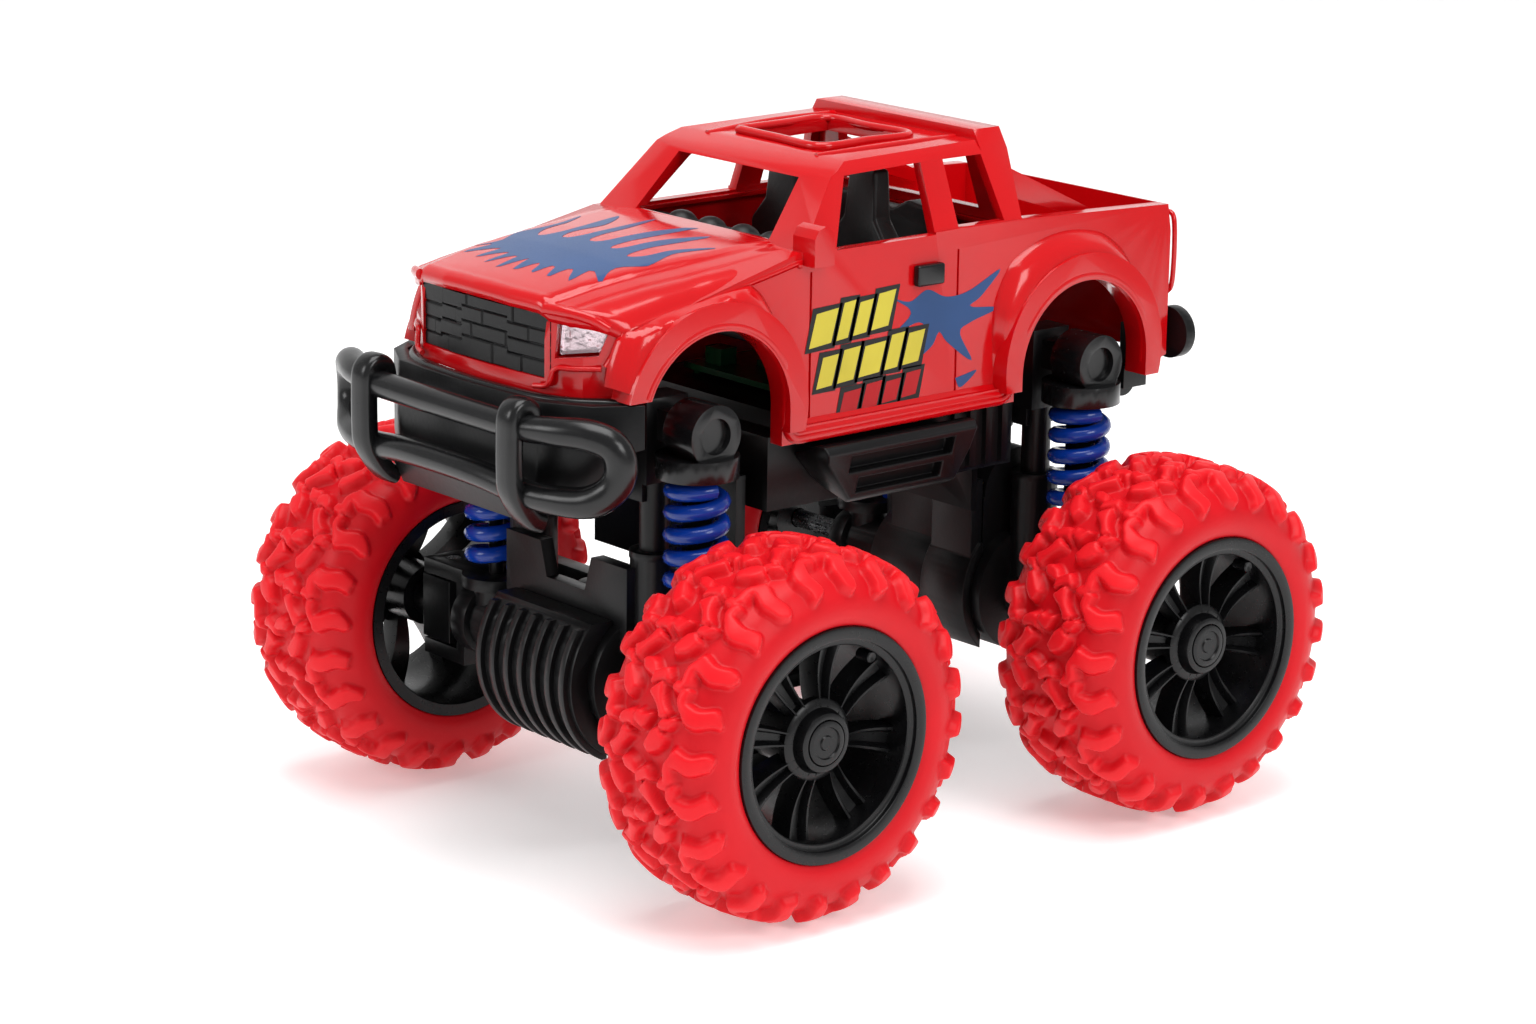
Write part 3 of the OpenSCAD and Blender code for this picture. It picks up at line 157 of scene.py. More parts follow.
def smooth_line(points, count):
    """Evenly spaced points along a curve through the given ones: a cubic between each pair,
    whose slope at a point is half the step from the one before to the one after."""
    p = np.array(points, float)
    slope = np.gradient(p, axis=0)
    t = np.linspace(0, len(p) - 1 - 1e-9, count * 8)
    i, f = t.astype(int), (t % 1)[:, None]
    fine = ((2 * f**3 - 3 * f**2 + 1) * p[i] + (f**3 - 2 * f**2 + f) * slope[i]
            + (3 * f**2 - 2 * f**3) * p[i + 1] + (f**3 - f**2) * slope[i + 1])
    reach = np.r_[0, np.cumsum(np.linalg.norm(np.diff(fine, axis=0), axis=1))]
    even = np.linspace(0, reach[-1], count)
    return np.stack([np.interp(even, reach, fine[:, k]) for k in range(p.shape[1])], -1)


def block_distance(u, v, block):
    """How far a point lies outside a block with rounded corners: below zero is inside. A block
    is its centre, half its length and half its width, its turn in degrees and its corner."""
    cu, cv, half_u, half_v, turn, corner = block
    c, s = math.cos(math.radians(turn)), math.sin(math.radians(turn))
    du, dv = u - cu, v - cv
    a = np.abs(c * du + s * dv) - half_u + corner
    b = np.abs(-s * du + c * dv) - half_v + corner
    return np.hypot(np.maximum(a, 0), np.maximum(b, 0)) + np.minimum(np.maximum(a, b), 0) - corner


TREAD_R, REPEATS, STEPS_ROUND = 33.5, 12, 600
TREAD_PITCH = 2 * np.pi * TREAD_R / REPEATS
# u runs round the tyre and v across it, from the middle outwards to the shoulder
SHOULDER_LUGS = [
    (2.6, 12.3, 1.95, 4.1, 4, 1.5), (0.6, 8.7, 2.8, 1.2, 16, 0.9), (-1.7, 7.3, 1.1, 1.6, 25, 0.8),
    (11.4, 12.7, 1.95, 3.8, -4, 1.5), (13.0, 9.4, 2.6, 1.1, -14, 0.9),
]
CENTRE_BLOCKS = [
    (5.4, 4.9, 3.3, 1.5, 42, 0.9), (9.0, 7.0, 1.2, 1.7, 6, 0.9), (12.4, 4.2, 3.1, 1.5, -38, 0.9),
    (8.6, 0.9, 1.4, 2.2, 12, 1.0), (16.4, 2.4, 1.4, 2.4, -8, 1.0),
]


def lug_height(u, v):
    """Height share of the tread, 0 in the gaps and 1 on the lugs: each block rises over a short
    slope at its edge to a faintly domed top. The pattern repeats twelve times round, half a step
    later on the far side, and two slow waves make its edges uneven."""
    slope_width, dome, dome_reach = 1.2, 0.12, 0.8
    u, v = u + 0.45 * np.sin(1.1 * v + 0.7), v + 0.4 * np.sin(u * 2 * np.pi * 3 / TREAD_PITCH)
    nearest = np.full(np.broadcast(u, v).shape, 99.0)
    for half, across in ((u % TREAD_PITCH, v), ((u + TREAD_PITCH / 2) % TREAD_PITCH, -v)):
        for lap in (-TREAD_PITCH, 0, TREAD_PITCH):
            for block in SHOULDER_LUGS + CENTRE_BLOCKS:
                nearest = np.minimum(nearest, block_distance(half + lap, across, block))
    rise = np.clip(0.5 - nearest / slope_width, 0, 1)
    return rise * rise * (3 - 2 * rise) * (1 - dome * np.exp(np.minimum(nearest, 0) / dome_reach))


def tyre_grid(centre, side):
    """A tyre's grid and how far each outer point is lifted. Half the section is a smooth line from
    the crown to the bead; it is mirrored, and lifted along its normal by the lug height, which
    fades out above the smooth band. The inner wall closes it 2 to 3 mm below."""
    half = smooth_line([(0, 33.7), (5, 33.6), (9.5, 33.0), (12.6, 31.4), (14.6, 28.6), (15.3, 26.2),
                        (15.2, 24.4), (14.6, 22.9)], 66)
    section = np.concatenate([half[::-1] * (-1, 1), half[1:]])
    reach = np.r_[0, np.cumsum(np.linalg.norm(np.diff(section, axis=0), axis=1))]
    across = reach - reach[-1] / 2
    slope = np.gradient(section, axis=0)
    normal = np.stack([-slope[:, 1], slope[:, 0]], -1) / np.linalg.norm(slope, axis=1)[:, None]
    angle = np.linspace(0, 2 * np.pi, STEPS_ROUND, endpoint=False)[:, None]
    lift = lug_height(angle * TREAD_R, across[None, :])
    band_r, fade_width, crown_lug, shoulder_loss = 27.0, 1.6, 2.3, 0.5
    to_shoulder = np.clip(np.abs(section[:, 0]) / 13, 0, 1)
    fade = np.clip((section[:, 1] - band_r) / fade_width, 0, 1) * (crown_lug - shoulder_loss * to_shoulder**4)
    shape = section[None] + (lift * fade)[..., None] * normal[None]
    inner = smooth_line([(14.4, 22.6), (10.5, 22.9), (10.4, 25.5), (12.6, 27.5), (10.5, 30.4), (0, 31.0),
                         (-10.5, 30.4), (-12.6, 27.5), (-10.4, 25.5), (-10.5, 22.9), (-14.4, 22.6)], 24)
    ring = np.concatenate([shape, np.broadcast_to(inner, (STEPS_ROUND, *inner.shape))], 1)
    return np.stack([centre[0] + side * ring[..., 0], centre[1] + ring[..., 1] * np.sin(angle),
                     centre[2] + ring[..., 1] * np.cos(angle)], -1), lift * np.clip(fade, 0, 1)


def node_group(name, inputs, outputs):
    """An empty shader group with its named sockets, and its two end nodes."""
    group = bpy.data.node_groups.new(name, "ShaderNodeTree")
    for direction, sockets in (("INPUT", inputs), ("OUTPUT", outputs)):
        for label, kind, value in sockets:
            socket = group.interface.new_socket(label, in_out=direction, socket_type="NodeSocket" + kind)
            if value is not None:
                socket.default_value = value
    return group, group.nodes.new("NodeGroupInput"), group.nodes.new("NodeGroupOutput")


# Moulded plastic: a fine grain, a slow waviness from shrinkage, and a faint change of shade
plastic_group, given, result = node_group(
    "moulded plastic",
    [("Colour", "Color", (0.5, 0.5, 0.5, 1)), ("Shade", "Float", 0.85), ("Grain size", "Float", 900.0),
     ("Grain", "Float", 0.3), ("Roughness", "Float", 0.4), ("Spread", "Float", 0.1)],
    [("Colour", "Color", None), ("Roughness", "Float", None), ("Height", "Float", None)])
nodes, wires = plastic_group.nodes, plastic_group.links
where = nodes.new("ShaderNodeTexCoord")
slow, fine = nodes.new("ShaderNodeTexNoise"), nodes.new("ShaderNodeTexNoise")
slow.inputs["Scale"].default_value, slow.inputs["Detail"].default_value = 60.0, 3.0
fine.inputs["Detail"].default_value = 2.0
for noise in (slow, fine):
    wires.new(where.outputs["Object"], noise.inputs["Vector"])
wires.new(given.outputs["Grain size"], fine.inputs["Scale"])
shade = nodes.new("ShaderNodeMapRange")
wires.new(slow.outputs["Fac"], shade.inputs["Value"])
shade.inputs["From Min"].default_value, shade.inputs["From Max"].default_value = 0.3, 0.7
wires.new(given.outputs["Shade"], shade.inputs["To Min"])
shade.inputs["To Max"].default_value = 1.0
tint = nodes.new("ShaderNodeVectorMath")
tint.operation = "SCALE"
wires.new(given.outputs["Colour"], tint.inputs[0])
wires.new(shade.outputs["Result"], tint.inputs["Scale"])
wires.new(tint.outputs["Vector"], result.inputs["Colour"])
gloss = nodes.new("ShaderNodeMath")
gloss.operation = "MULTIPLY_ADD"
wires.new(fine.outputs["Fac"], gloss.inputs[0])
wires.new(given.outputs["Spread"], gloss.inputs[1])
wires.new(given.outputs["Roughness"], gloss.inputs[2])
wires.new(gloss.outputs["Value"], result.inputs["Roughness"])
grain = nodes.new("ShaderNodeMath")
grain.operation = "MULTIPLY_ADD"
wires.new(fine.outputs["Fac"], grain.inputs[0])
wires.new(given.outputs["Grain"], grain.inputs[1])
wires.new(slow.outputs["Fac"], grain.inputs[2])
wires.new(grain.outputs["Value"], result.inputs["Height"])


def moulded(name, colour, roughness, grain=0.3, size=900.0, shade=0.88, spread=0.1, bump=0.15, coat=0.0,
             shine=0.25):
    """A moulded plastic: its colour, roughness, grain and shine, with an optional clear gloss."""
    made = bpy.data.materials.new(name)
    made.use_nodes = True
    tree = made.node_tree
    shader = tree.nodes["Principled BSDF"]
    surface = tree.nodes.new("ShaderNodeGroup")
    surface.node_tree = plastic_group
    for label, value in (("Colour", (*colour, 1)), ("Shade", shade), ("Grain size", size),
                         ("Grain", grain), ("Roughness", roughness), ("Spread", spread)):
        surface.inputs[label].default_value = value
    relief = tree.nodes.new("ShaderNodeBump")
    relief.inputs["Strength"].default_value = bump
    relief.inputs["Distance"].default_value = 0.0002
    tree.links.new(surface.outputs["Colour"], shader.inputs["Base Color"])
    tree.links.new(surface.outputs["Roughness"], shader.inputs["Roughness"])
    tree.links.new(surface.outputs["Height"], relief.inputs["Height"])
    tree.links.new(relief.outputs["Normal"], shader.inputs["Normal"])
    shader.inputs["Specular IOR Level"].default_value = shine
    shader.inputs["Coat Weight"].default_value = coat
    shader.inputs["Coat Roughness"].default_value = 0.08
    return made


tyre_vinyl = moulded("red tyre vinyl", (0.6, 0.004, 0.01), 0.36, grain=0.5, size=1400.0, bump=0.25,
                     shine=0.2)
tree = tyre_vinyl.node_tree
# The lug tops are mixed to a lighter red than the tread gaps: a painted highlight on the raised lugs and
# painted shade in the gaps between them.
lug_highlight_mask = tree.nodes.new("ShaderNodeAttribute")
lug_highlight_mask.attribute_name = "lug"
lug_painted_highlight = tree.nodes.new("ShaderNodeMix")
lug_painted_highlight.data_type = "RGBA"
surface = next(n for n in tree.nodes if n.type == "GROUP")
tree.links.new(lug_highlight_mask.outputs["Fac"], lug_painted_highlight.inputs["Factor"])
tree.links.new(surface.outputs["Colour"], lug_painted_highlight.inputs["A"])
lug_painted_highlight.inputs["B"].default_value = (0.7, 0.008, 0.014, 1)
tree.links.new(lug_painted_highlight.outputs["Result"], tree.nodes["Principled BSDF"].inputs["Base Color"])

WHEELS = []
for end, side_name, wheel_body in (
        ("front", "left", "wheel_front_left"), ("front", "right", "wheel_front_right"),
        ("rear", "left", "rear_wheels"), ("rear", "right", "rear_wheels")):
    low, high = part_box(f"tyre_{end}_{side_name}")
    centre = [(low[k] + high[k]) / 2 / MM for k in range(3)]
    side = 1 if centre[0] > 0 else -1
    WHEELS.append((f"{end}_{side_name}", centre, side, wheel_body))
for where_name, centre, side, wheel_body in WHEELS:
    grid, lift = tyre_grid(centre, side)
    mesh = mesh_of("tread_" + where_name, [(grid, True, True, False)])
    # the lug height is kept on the points, where it sets the painted highlight on the lugs
    tall = np.zeros(grid.shape[:2], np.float32)
    tall[:, :lift.shape[1]] = lift
    mesh.attributes.new("lug", "FLOAT", "POINT").data.foreach_set("value", tall.ravel())
    if side > 0:
        mesh.flip_normals()
    placed("tread_" + where_name, mesh, tyre_vinyl, wheel_body, ["tyre_" + where_name], 75)

# ---------- rims ----------
# Four black rims, each moulded with its eight spokes. A spoke is a channel with two raised edges,
# and spreads outwards; the hub stands in a round collar and takes a snapped-in cap.
rim_plastic = moulded("black rim plastic", (0.004, 0.004, 0.0045), 0.24, grain=0.25, size=1200.0,
                      bump=0.12, shine=0.3)
SPOKES, FIRST_SPOKE_TURN = 8, 0.2
COLLAR_R, BARREL_R, VALVE_R = 6.4, 20.3, 17.9


def spoke_grid(centre, side, turn):
    """A closed section of twelve points with two ridges on its outer face, carried from the collar
    to the barrel. It widens outwards, and its face dips in the middle of the length."""
    t = np.linspace(0, 1, 14)[:, None]
    r = COLLAR_R + t * (BARREL_R - COLLAR_R)
    half = 1.1 + 1.6 * t ** 0.8  # half its width
    face = 10.4 - 0.6 * t - 1.3 * np.sin(np.pi * t)  # x of its outer face
    across = np.array([-1, -1, -0.92, -0.72, -0.55, -0.4, 0.4, 0.55, 0.72, 0.92, 1, 1])
    height = np.array([-5.0, -0.5, 0, 0, -0.6, -1.6, -1.6, -0.6, 0, 0, -0.5, -5.0])
    x = centre[0] + side * (face + height[None])
    a = turn + np.arcsin(np.clip(across[None] * half / r, -1, 1))
    return np.stack([x, centre[1] + r * np.sin(a), centre[2] + r * np.cos(a)], -1)


# sections as (x, radius), x from the middle of the wheel outwards
RIM_SECTION = [
    (-14.7, 20.2), (-14.7, 22.5), (-13.2, 22.5), (-12.8, 21.6), (12.6, 21.6), (13.4, 22.4), (14.4, 22.7),
    (15.0, 22.5), (15.1, 22.2), (15.1, 20.5), (14.9, 20.2), (14.1, 20.1), (13.9, 19.8), (13.9, 19.1),
    (13.7, 18.9), (12.0, 18.8), (9.0, 19.4), (2.0, 19.9), (-14.0, 19.9)]
HUB_SECTION = [
    (-2.0, 2.2), (-2.0, 6.2), (8.0, 6.2), (8.2, 7.9), (9.7, 7.9), (10.1, 7.5), (10.3, 6.3), (11.7, 5.9),
    (12.3, 5.6), (12.5, 5.1), (12.5, 4.5), (11.2, 4.4), (11.2, 2.2)]
CAP_SECTION = [
    (11.3, 0.01), (12.7, 0.01), (12.7, 1.3), (12.4, 1.5), (12.4, 2.9), (12.75, 3.1), (12.75, 3.7),
    (12.6, 4.2), (11.3, 4.3)]
VALVE_SECTION = [(10.0, 0.01), (13.2, 0.01), (13.4, 0.9), (13.2, 1.1), (10.0, 1.1)]
for where_name, centre, side, wheel_body in WHEELS:
    grids = [(turned(RIM_SECTION, centre, side, 128), True, True, False),
             (turned(HUB_SECTION, centre, side, 64), True, True, False)]
    grids += [(spoke_grid(centre, side, 2 * np.pi * k / SPOKES + FIRST_SPOKE_TURN), False, True, True)
              for k in range(SPOKES)]
    valve_turn = np.pi / SPOKES + FIRST_SPOKE_TURN
    valve_place = [centre[0], centre[1] + VALVE_R * math.sin(valve_turn),
                   centre[2] + VALVE_R * math.cos(valve_turn)]
    grids.append((turned(VALVE_SECTION, valve_place, side, 16), True, True, False))
    piece("wheel_rim_" + where_name, grids, rim_plastic, wheel_body, ["rim_" + where_name])
    cap = turned(CAP_SECTION, centre, side, 48)
    piece("snap_cap_" + where_name, [(cap, True, True, False)], rim_plastic, wheel_body,
          ["hub_cap_" + where_name] if where_name.startswith("front") else ["hub_caps_rear"])

# ---------- springs ----------
# Four blue coil springs of thick plastic wire, each standing from its axle up to its cap.
spring_plastic = moulded("blue spring plastic", (0.002, 0.035, 0.3), 0.2, grain=0.15, size=1500.0,
                         bump=0.1, coat=0.3)


def coil_grid(centre_x, centre_y, low, high):
    """A ring of ten points carried along a helix of seven turns, which climbs more slowly over its
    first and its last half turn, where it lies on its seats."""
    turns, steps_per_turn, wire, radius = 7, 28, 1.62, 4.85
    t = np.linspace(0, 1, turns * steps_per_turn + 1)[:, None]
    rise = np.interp(t, [0, 0.06, 0.94, 1], [0, 0.035, 0.965, 1])
    z = low + wire + (high - low - 2 * wire) * rise
    a = 2 * np.pi * turns * t
    b = np.linspace(0, 2 * np.pi, 10, endpoint=False)[None, :]
    r = radius + wire * np.cos(b)
    return np.stack([centre_x + r * np.cos(a), centre_y + r * np.sin(a), z + wire * np.sin(b)], -1)


for end, axle_body in (("front", "front_axle"), ("rear", "rear_axle")):
    for side_name in ("left", "right"):
        node = f"spring_{end}_{side_name}"
        low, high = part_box(node)
        x, y = (low[0] + high[0]) / 2 / MM, (low[1] + high[1]) / 2 / MM
        grid = coil_grid(x, y, low[2] / MM, high[2] / MM)
        coil = piece(f"coil_{end}_{side_name}", [(grid, False, True, True)],
                     spring_plastic, None, [node])
        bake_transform(coil)

# ---------- black chassis and axle mouldings ----------
# Injection-moulded nylon parts with small rounded edges: tub, apron, steps, rear bumper, shock
# tops, axle cases and covers, steering parts and the cabin parts.
chassis_plastic = moulded("black chassis plastic", (0.0045, 0.0045, 0.005), 0.32, grain=0.5, size=1100.0,
                          bump=0.22, shine=0.25)
bar_plastic = moulded("black bar plastic", (0.0045, 0.0045, 0.005), 0.2, grain=0.3, size=1000.0,
                      bump=0.1, shine=0.4)
cabin_plastic = moulded("black cabin plastic", (0.008, 0.008, 0.0085), 0.4, grain=0.5, size=1200.0,
                        bump=0.25, shine=0.35)


def eased(node, width, material, steps=2, limit=30):
    """A copy of a CAD node with its doubles merged, its flat areas joined and its edges rounded."""
    source = frame["nodes"][node]
    work = bmesh.new()
    work.from_mesh(source.data)
    bmesh.ops.remove_doubles(work, verts=work.verts, dist=3e-6)
    bmesh.ops.dissolve_limit(work, angle_limit=math.radians(1), verts=work.verts, edges=work.edges)
    mesh = bpy.data.meshes.new("eased_" + node)
    work.to_mesh(mesh)
    work.free()
    mesh.materials.clear()
    made = placed("eased_" + node, mesh, material, source["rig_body"], [node], 180)
    rounding = made.modifiers.new("rounding", "BEVEL")
    rounding.width, rounding.segments = width * MM, steps
    rounding.limit_method, rounding.angle_limit = "ANGLE", math.radians(limit)
    rounding.harden_normals = True
    return made


for node, width, material in (
        ("chassis_tub", 0.5, chassis_plastic), ("bumper_apron", 0.6, chassis_plastic),
        ("side_step_left", 0.4, chassis_plastic), ("side_step_right", 0.4, chassis_plastic),
        ("rear_bumper", 0.7, chassis_plastic), ("shock_tops", 0.6, bar_plastic),
        ("front_axle_case", 0.5, chassis_plastic), ("front_axle_cover", 0.4, chassis_plastic),
        ("rear_axle_case", 0.5, chassis_plastic), ("rear_axle_cover", 0.4, chassis_plastic),
        ("knuckle_left", 0.4, chassis_plastic), ("knuckle_right", 0.4, chassis_plastic),
        ("tie_rod", 0.3, chassis_plastic), ("steering_arm", 0.3, chassis_plastic),
        ("battery_door", 0.3, chassis_plastic), ("cabin_tray", 0.3, cabin_plastic),
        ("dashboard", 0.8, cabin_plastic), ("front_seats", 1.1, cabin_plastic),
        ("rear_seat", 1.1, cabin_plastic), ("door_handles", 0.5, bar_plastic)):
    eased(node, width, material)

# ---------- body shell ----------
# One gloss red moulding: bonnet with a raised middle, cab with its roll hoop, open bed and flared
# arches, 1.8 mm thick and screwed to the tub from below.
body_plastic = moulded("gloss red body plastic", (0.54, 0.0015, 0.004), 0.14, grain=0.12, size=1500.0,
                       shade=0.93, spread=0.05, bump=0.06, coat=0.35, shine=0.3)
shell = eased("body_shell", 0.8, body_plastic, 3, 25)
low, high = (np.array(corner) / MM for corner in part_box("body_shell"))
TAIL_Y, SILL_Z = high[1], low[2]
HALF_WIDTH, COWL_Y = 31.5, -23.6
FRONT_ARCH, REAR_ARCH, ARCH_R = (-46.75, 89.5), (49.25, 87.5), 17.5


def ease(t):
    """0 below 0, 1 above 1, and a smooth rise between."""
    t = np.clip(t, 0, 1)
    return t * t * (3 - 2 * t)


def nose_line(x):
    """How far back the nose stands at each x: nearly flat behind the grille, then swept round the
    corner to the wheel arch."""
    return np.interp(np.abs(x), [0, 10, 19, 23, 26, 29, 31.8],
                     [-77.4, -77.1, -75.9, -74.2, -72.4, -69.2, -65.0])


def bonnet_top(x, y):
    """Height of the bonnet: a line that climbs to the screen, less a slight crown, a step outside
    the two long creases, a fine groove along each crease and another beside it, and a round
    shoulder. The drop fades to the rear."""
    middle = np.interp(y, [-77, -73, -66, -56, -44, -30, -23],
                       [114.6, 115.6, 117.0, 118.3, 119.3, 119.9, 119.6])
    crease = np.interp(y, [-77, -60, -40, -23], [18.6, 20.0, 22.0, 22.6])
    edge = np.abs(x) - crease
    outer = np.clip(edge / (HALF_WIDTH - crease), 0, 1)
    drop = np.interp(y, [-66, -48, -30, -24], [1.0, 0.85, 0.5, 0.3])
    groove = 0.25 * np.exp(-(edge / 0.5) ** 2) + 0.22 * np.exp(-((edge - 5.2) / 0.45) ** 2)
    return middle - groove - drop * ((x / 20) ** 2 + 1.1 * ease(edge / 1.5) + outer + 3.4 * outer**5)


def bonnet_grid():
    """Columns run across the truck. Each starts in the lip over the grille, rolls over the front
    edge, follows the bonnet back to the screen and ends in a small drop behind it."""
    x = np.linspace(-31.9, 31.9, 129)[None, :]
    front = nose_line(x)
    roll = np.linspace(0, np.pi / 2, 9)[:, None]
    radius, lip_depth, cowl_depth = 2.2, 3.4, 1.6
    first = np.stack(np.broadcast_arrays(x, front + 0.25, bonnet_top(x, front + radius) - lip_depth), -1)
    curve = np.stack(np.broadcast_arrays(x, front + radius * (1 - np.cos(roll)),
                                         bonnet_top(x, front + radius) - radius * (1 - np.sin(roll))), -1)
    t = np.linspace(0, 1, 61)[1:, None]
    y = front + radius + (COWL_Y - front - radius) * t
    rest = np.stack(np.broadcast_arrays(x, y, bonnet_top(x, y)), -1)
    last = np.stack(np.broadcast_arrays(x, COWL_Y, bonnet_top(x, COWL_Y) - cowl_depth), -1)
    return np.concatenate([first, curve, rest, last[:1]])


def walled(made, thickness):
    """Gives a sheet its wall, inwards."""
    wall = made.modifiers.new("wall", "SOLIDIFY")
    wall.thickness, wall.offset = thickness * MM, -1.0
    return made


walled(piece("bonnet_skin", [(bonnet_grid()[:, ::-1], False, False, False)], body_plastic,
             "chassis", sharp=60), 1.0)
# the flat corners of the shell drop below the round shoulders of the bonnet
CORNER_Z, CORNER_HALF, BELOW_SKIN = 108.5, 34, 0.9
co = np.zeros((len(shell.data.vertices), 3))
shell.data.vertices.foreach_get("co", co.ravel())
x, y, z = (co / MM).T
front_part = ease((COWL_Y - 1 - y) / 2.0) * ease((z - CORNER_Z) / 3.0) * (np.abs(x) < CORNER_HALF)
lower = np.minimum(z, bonnet_top(x, np.clip(y, -75, COWL_Y)) - BELOW_SKIN)
co[:, 2] = np.where(front_part > 0.5, lower, z) * MM
shell.data.vertices.foreach_set("co", co.ravel())

SILL_CORNER = 4.4
# the band round an arch: angles from the rear, and its width at each
FRONT_BAND = ([0, 22, 45, 60, 75, 100, 120, 140, 158], [3.0, 3.4, 5.2, 7.6, 9.0, 10.0, 10.4, 8.6, 6.4])
REAR_BAND = ([0, 22, 42, 58, 73, 90, 111, 128, 145, 165, 180],
             [3.2, 3.6, 5.2, 7.0, 8.3, 8.8, 9.6, 10.4, 8.4, 4.6, 3.2])


def border_path():
    """The lower edge of one side in (y, z), from the nose round the front arch, along the sill and
    round the rear arch to the tail, with the way into the body, the band's width and its bulge."""
    stops = []  # (y, z, way along y, way along z, width, bulge)

    def arch(centre, angles, band, bulge):
        for a in angles:
            c, s = math.cos(math.radians(a)), math.sin(math.radians(a))
            stops.append((centre[0] + ARCH_R * c, centre[1] + ARCH_R * s, c, s,
                          np.interp(a, *band), np.interp(a, *bulge)))

    def sill_corner(centre_y, first, last):
        for a in np.linspace(first, last, 10):
            c, s = math.cos(math.radians(a)), math.sin(math.radians(a))
            stops.append((centre_y + SILL_CORNER * c, SILL_Z + SILL_CORNER - SILL_CORNER * s, -c, s,
                          3.0, 0.55))

    sill_front, sill_rear = FRONT_ARCH[0] + ARCH_R, REAR_ARCH[0] - ARCH_R
    arch(FRONT_ARCH, np.linspace(158, 0, 60), FRONT_BAND, ([0, 30], [0.62, 1]))
    stops += [(sill_front, z, 1, 0, 3.0, 0.58) for z in (88.0, 86.6)]
    sill_corner(sill_front + SILL_CORNER, 180, 90)
    stops += [(y, SILL_Z, 0, 1, 3.2, 0.52) for y in np.linspace(sill_front + 6, sill_rear - 6, 12)]
    sill_corner(sill_rear - SILL_CORNER, 90, 0)
    arch(REAR_ARCH, np.linspace(180, 0, 66), REAR_BAND, ([0, 30, 150, 180], [0.8, 1, 1, 0.62]))
    stops.append((REAR_ARCH[0] + ARCH_R, 85.6, 1, 0, 3.2, 0.75))
    return np.array(stops).T


def border_grid(side):
    """A closed section carried along the border: an inner return, a stepped lip, a full band that
    rounds away to the body side, and a back inside the wall. What would stand over the bonnet is
    drawn in under it."""
    y, z, ny, nz, width, bulge = (row[:, None] for row in border_path())
    lip, back_in = 1.6, 0.3
    out = np.array([back_in, -0.15, 0.0, 0.5, 1.1, 1.45, lip])
    share = np.array([0.0, 0.18, 0.38, 0.58, 0.76, 0.9, 1.0])
    reach = np.concatenate([out + 0 * width, lip + (width - lip) * share[1:], width + 0.9, width + 0.9,
                            back_in + 0 * width], 1)
    proud = np.array([-1.6, 2.6, 3.6, 4.15, 4.2, 4.05, 3.5, 3.6, 3.55, 3.3, 2.8, 2.0, 1.0, 0.1, -1.6, -1.6])
    x = HALF_WIDTH + np.where(proud > 0, proud * (0.12 + 0.88 * bulge), proud)
    along, height = y + ny * reach, z + nz * reach
    over = np.where(along < COWL_Y, np.maximum(height - bonnet_top(HALF_WIDTH, along) + 0.6, 0), 0)
    return np.stack(np.broadcast_arrays(side * (x - 1.2 * over), along, height - 0.7 * over), -1)


piece("arch_and_sill_borders", [(border_grid(side), False, True, True) for side in (1, -1)],
      body_plastic, "chassis", sharp=50)


def tube(path, radius, sides=14, flat=1.0, boxy=1.0):
    """A round section carried along a path. Its two directions stay square to the path; it can be
    flattened in one of them, and a power below one on its sine and cosine makes it boxy."""
    path = np.asarray(path, float)
    along = np.gradient(path, axis=0)
    along /= np.linalg.norm(along, axis=1)[:, None]
    guide = np.array([0.0, 0.0, 1.0]) if np.abs(along[:, 2]).max() < 0.9 else np.array([0.0, 1.0, 0.02])
    if np.abs(along @ guide).max() > 0.97:
        guide = np.array([1.0, 0.03, 0.02])
    side_way = np.cross(along, guide)
    side_way /= np.linalg.norm(side_way, axis=1)[:, None]
    up_way = np.cross(side_way, along)
    a = np.linspace(0, 2 * np.pi, sides, endpoint=False)
    first, second = (np.sign(wave) * np.abs(wave) ** boxy for wave in (np.cos(a), np.sin(a)))
    radius = np.broadcast_to(np.asarray(radius, float), len(path))[:, None, None]
    return path[:, None] + radius * (flat * first[None, :, None] * side_way[:, None]
                                     + second[None, :, None] * up_way[:, None])


def closed_line(corners, count):
    """Points along a closed smooth line through the corners."""
    return smooth_line(corners + corners[:1], count)[:-1]


def tail_outline(corners, count, radius):
    """A raised outline on the tail, as a closed grid; corners are (x, z)."""
    return tube(closed_line([(x, TAIL_Y + 0.05, z) for x, z in corners], count), radius, 8), True, True, False


# raised lines of the moulding: a roof rib, the brow over the lamp, the step below it and its corner
# on each side as (points, count, radius, sides, flat), then the outlines on the tail and the
# sunroof rim
ROOF_Z, CAB_FRONT, CAB_REAR = 134.0, -24.25, 34.75
SIDE_LINES = [
    ([(16.5, CAB_FRONT + 17, ROOF_Z - 0.9), (18, CAB_FRONT + 34, ROOF_Z - 0.3),
      (18, CAB_REAR - 7, ROOF_Z - 0.3)], 24, 0.75, 10, 1.0),
    ([(19.4, -75.6, 112.4), (24.0, -73.4, 112.0), (27.4, -70.9, 111.0), (29.4, -68.4, 109.2)],
     20, 1.1, 12, 0.8),
    ([(17.5, -76.6, 97.6), (20.4, -75.6, 98.2), (21.4, -74.7, 101.2), (24.6, -72.8, 101.5),
      (28.6, -69.4, 101.7)], 26, 0.55, 8, 1.0),
    ([(29.2, -68.6, 102.0), (30.2, -67.0, 105.4), (31.0, -65.8, 108.4)], 14, 0.8, 10, 1.0)]
TAIL_LAMP = [(24.6, 99), (24.6, 113.5), (27.6, 114.6), (30.4, 113), (30.4, 100), (27.6, 98)]
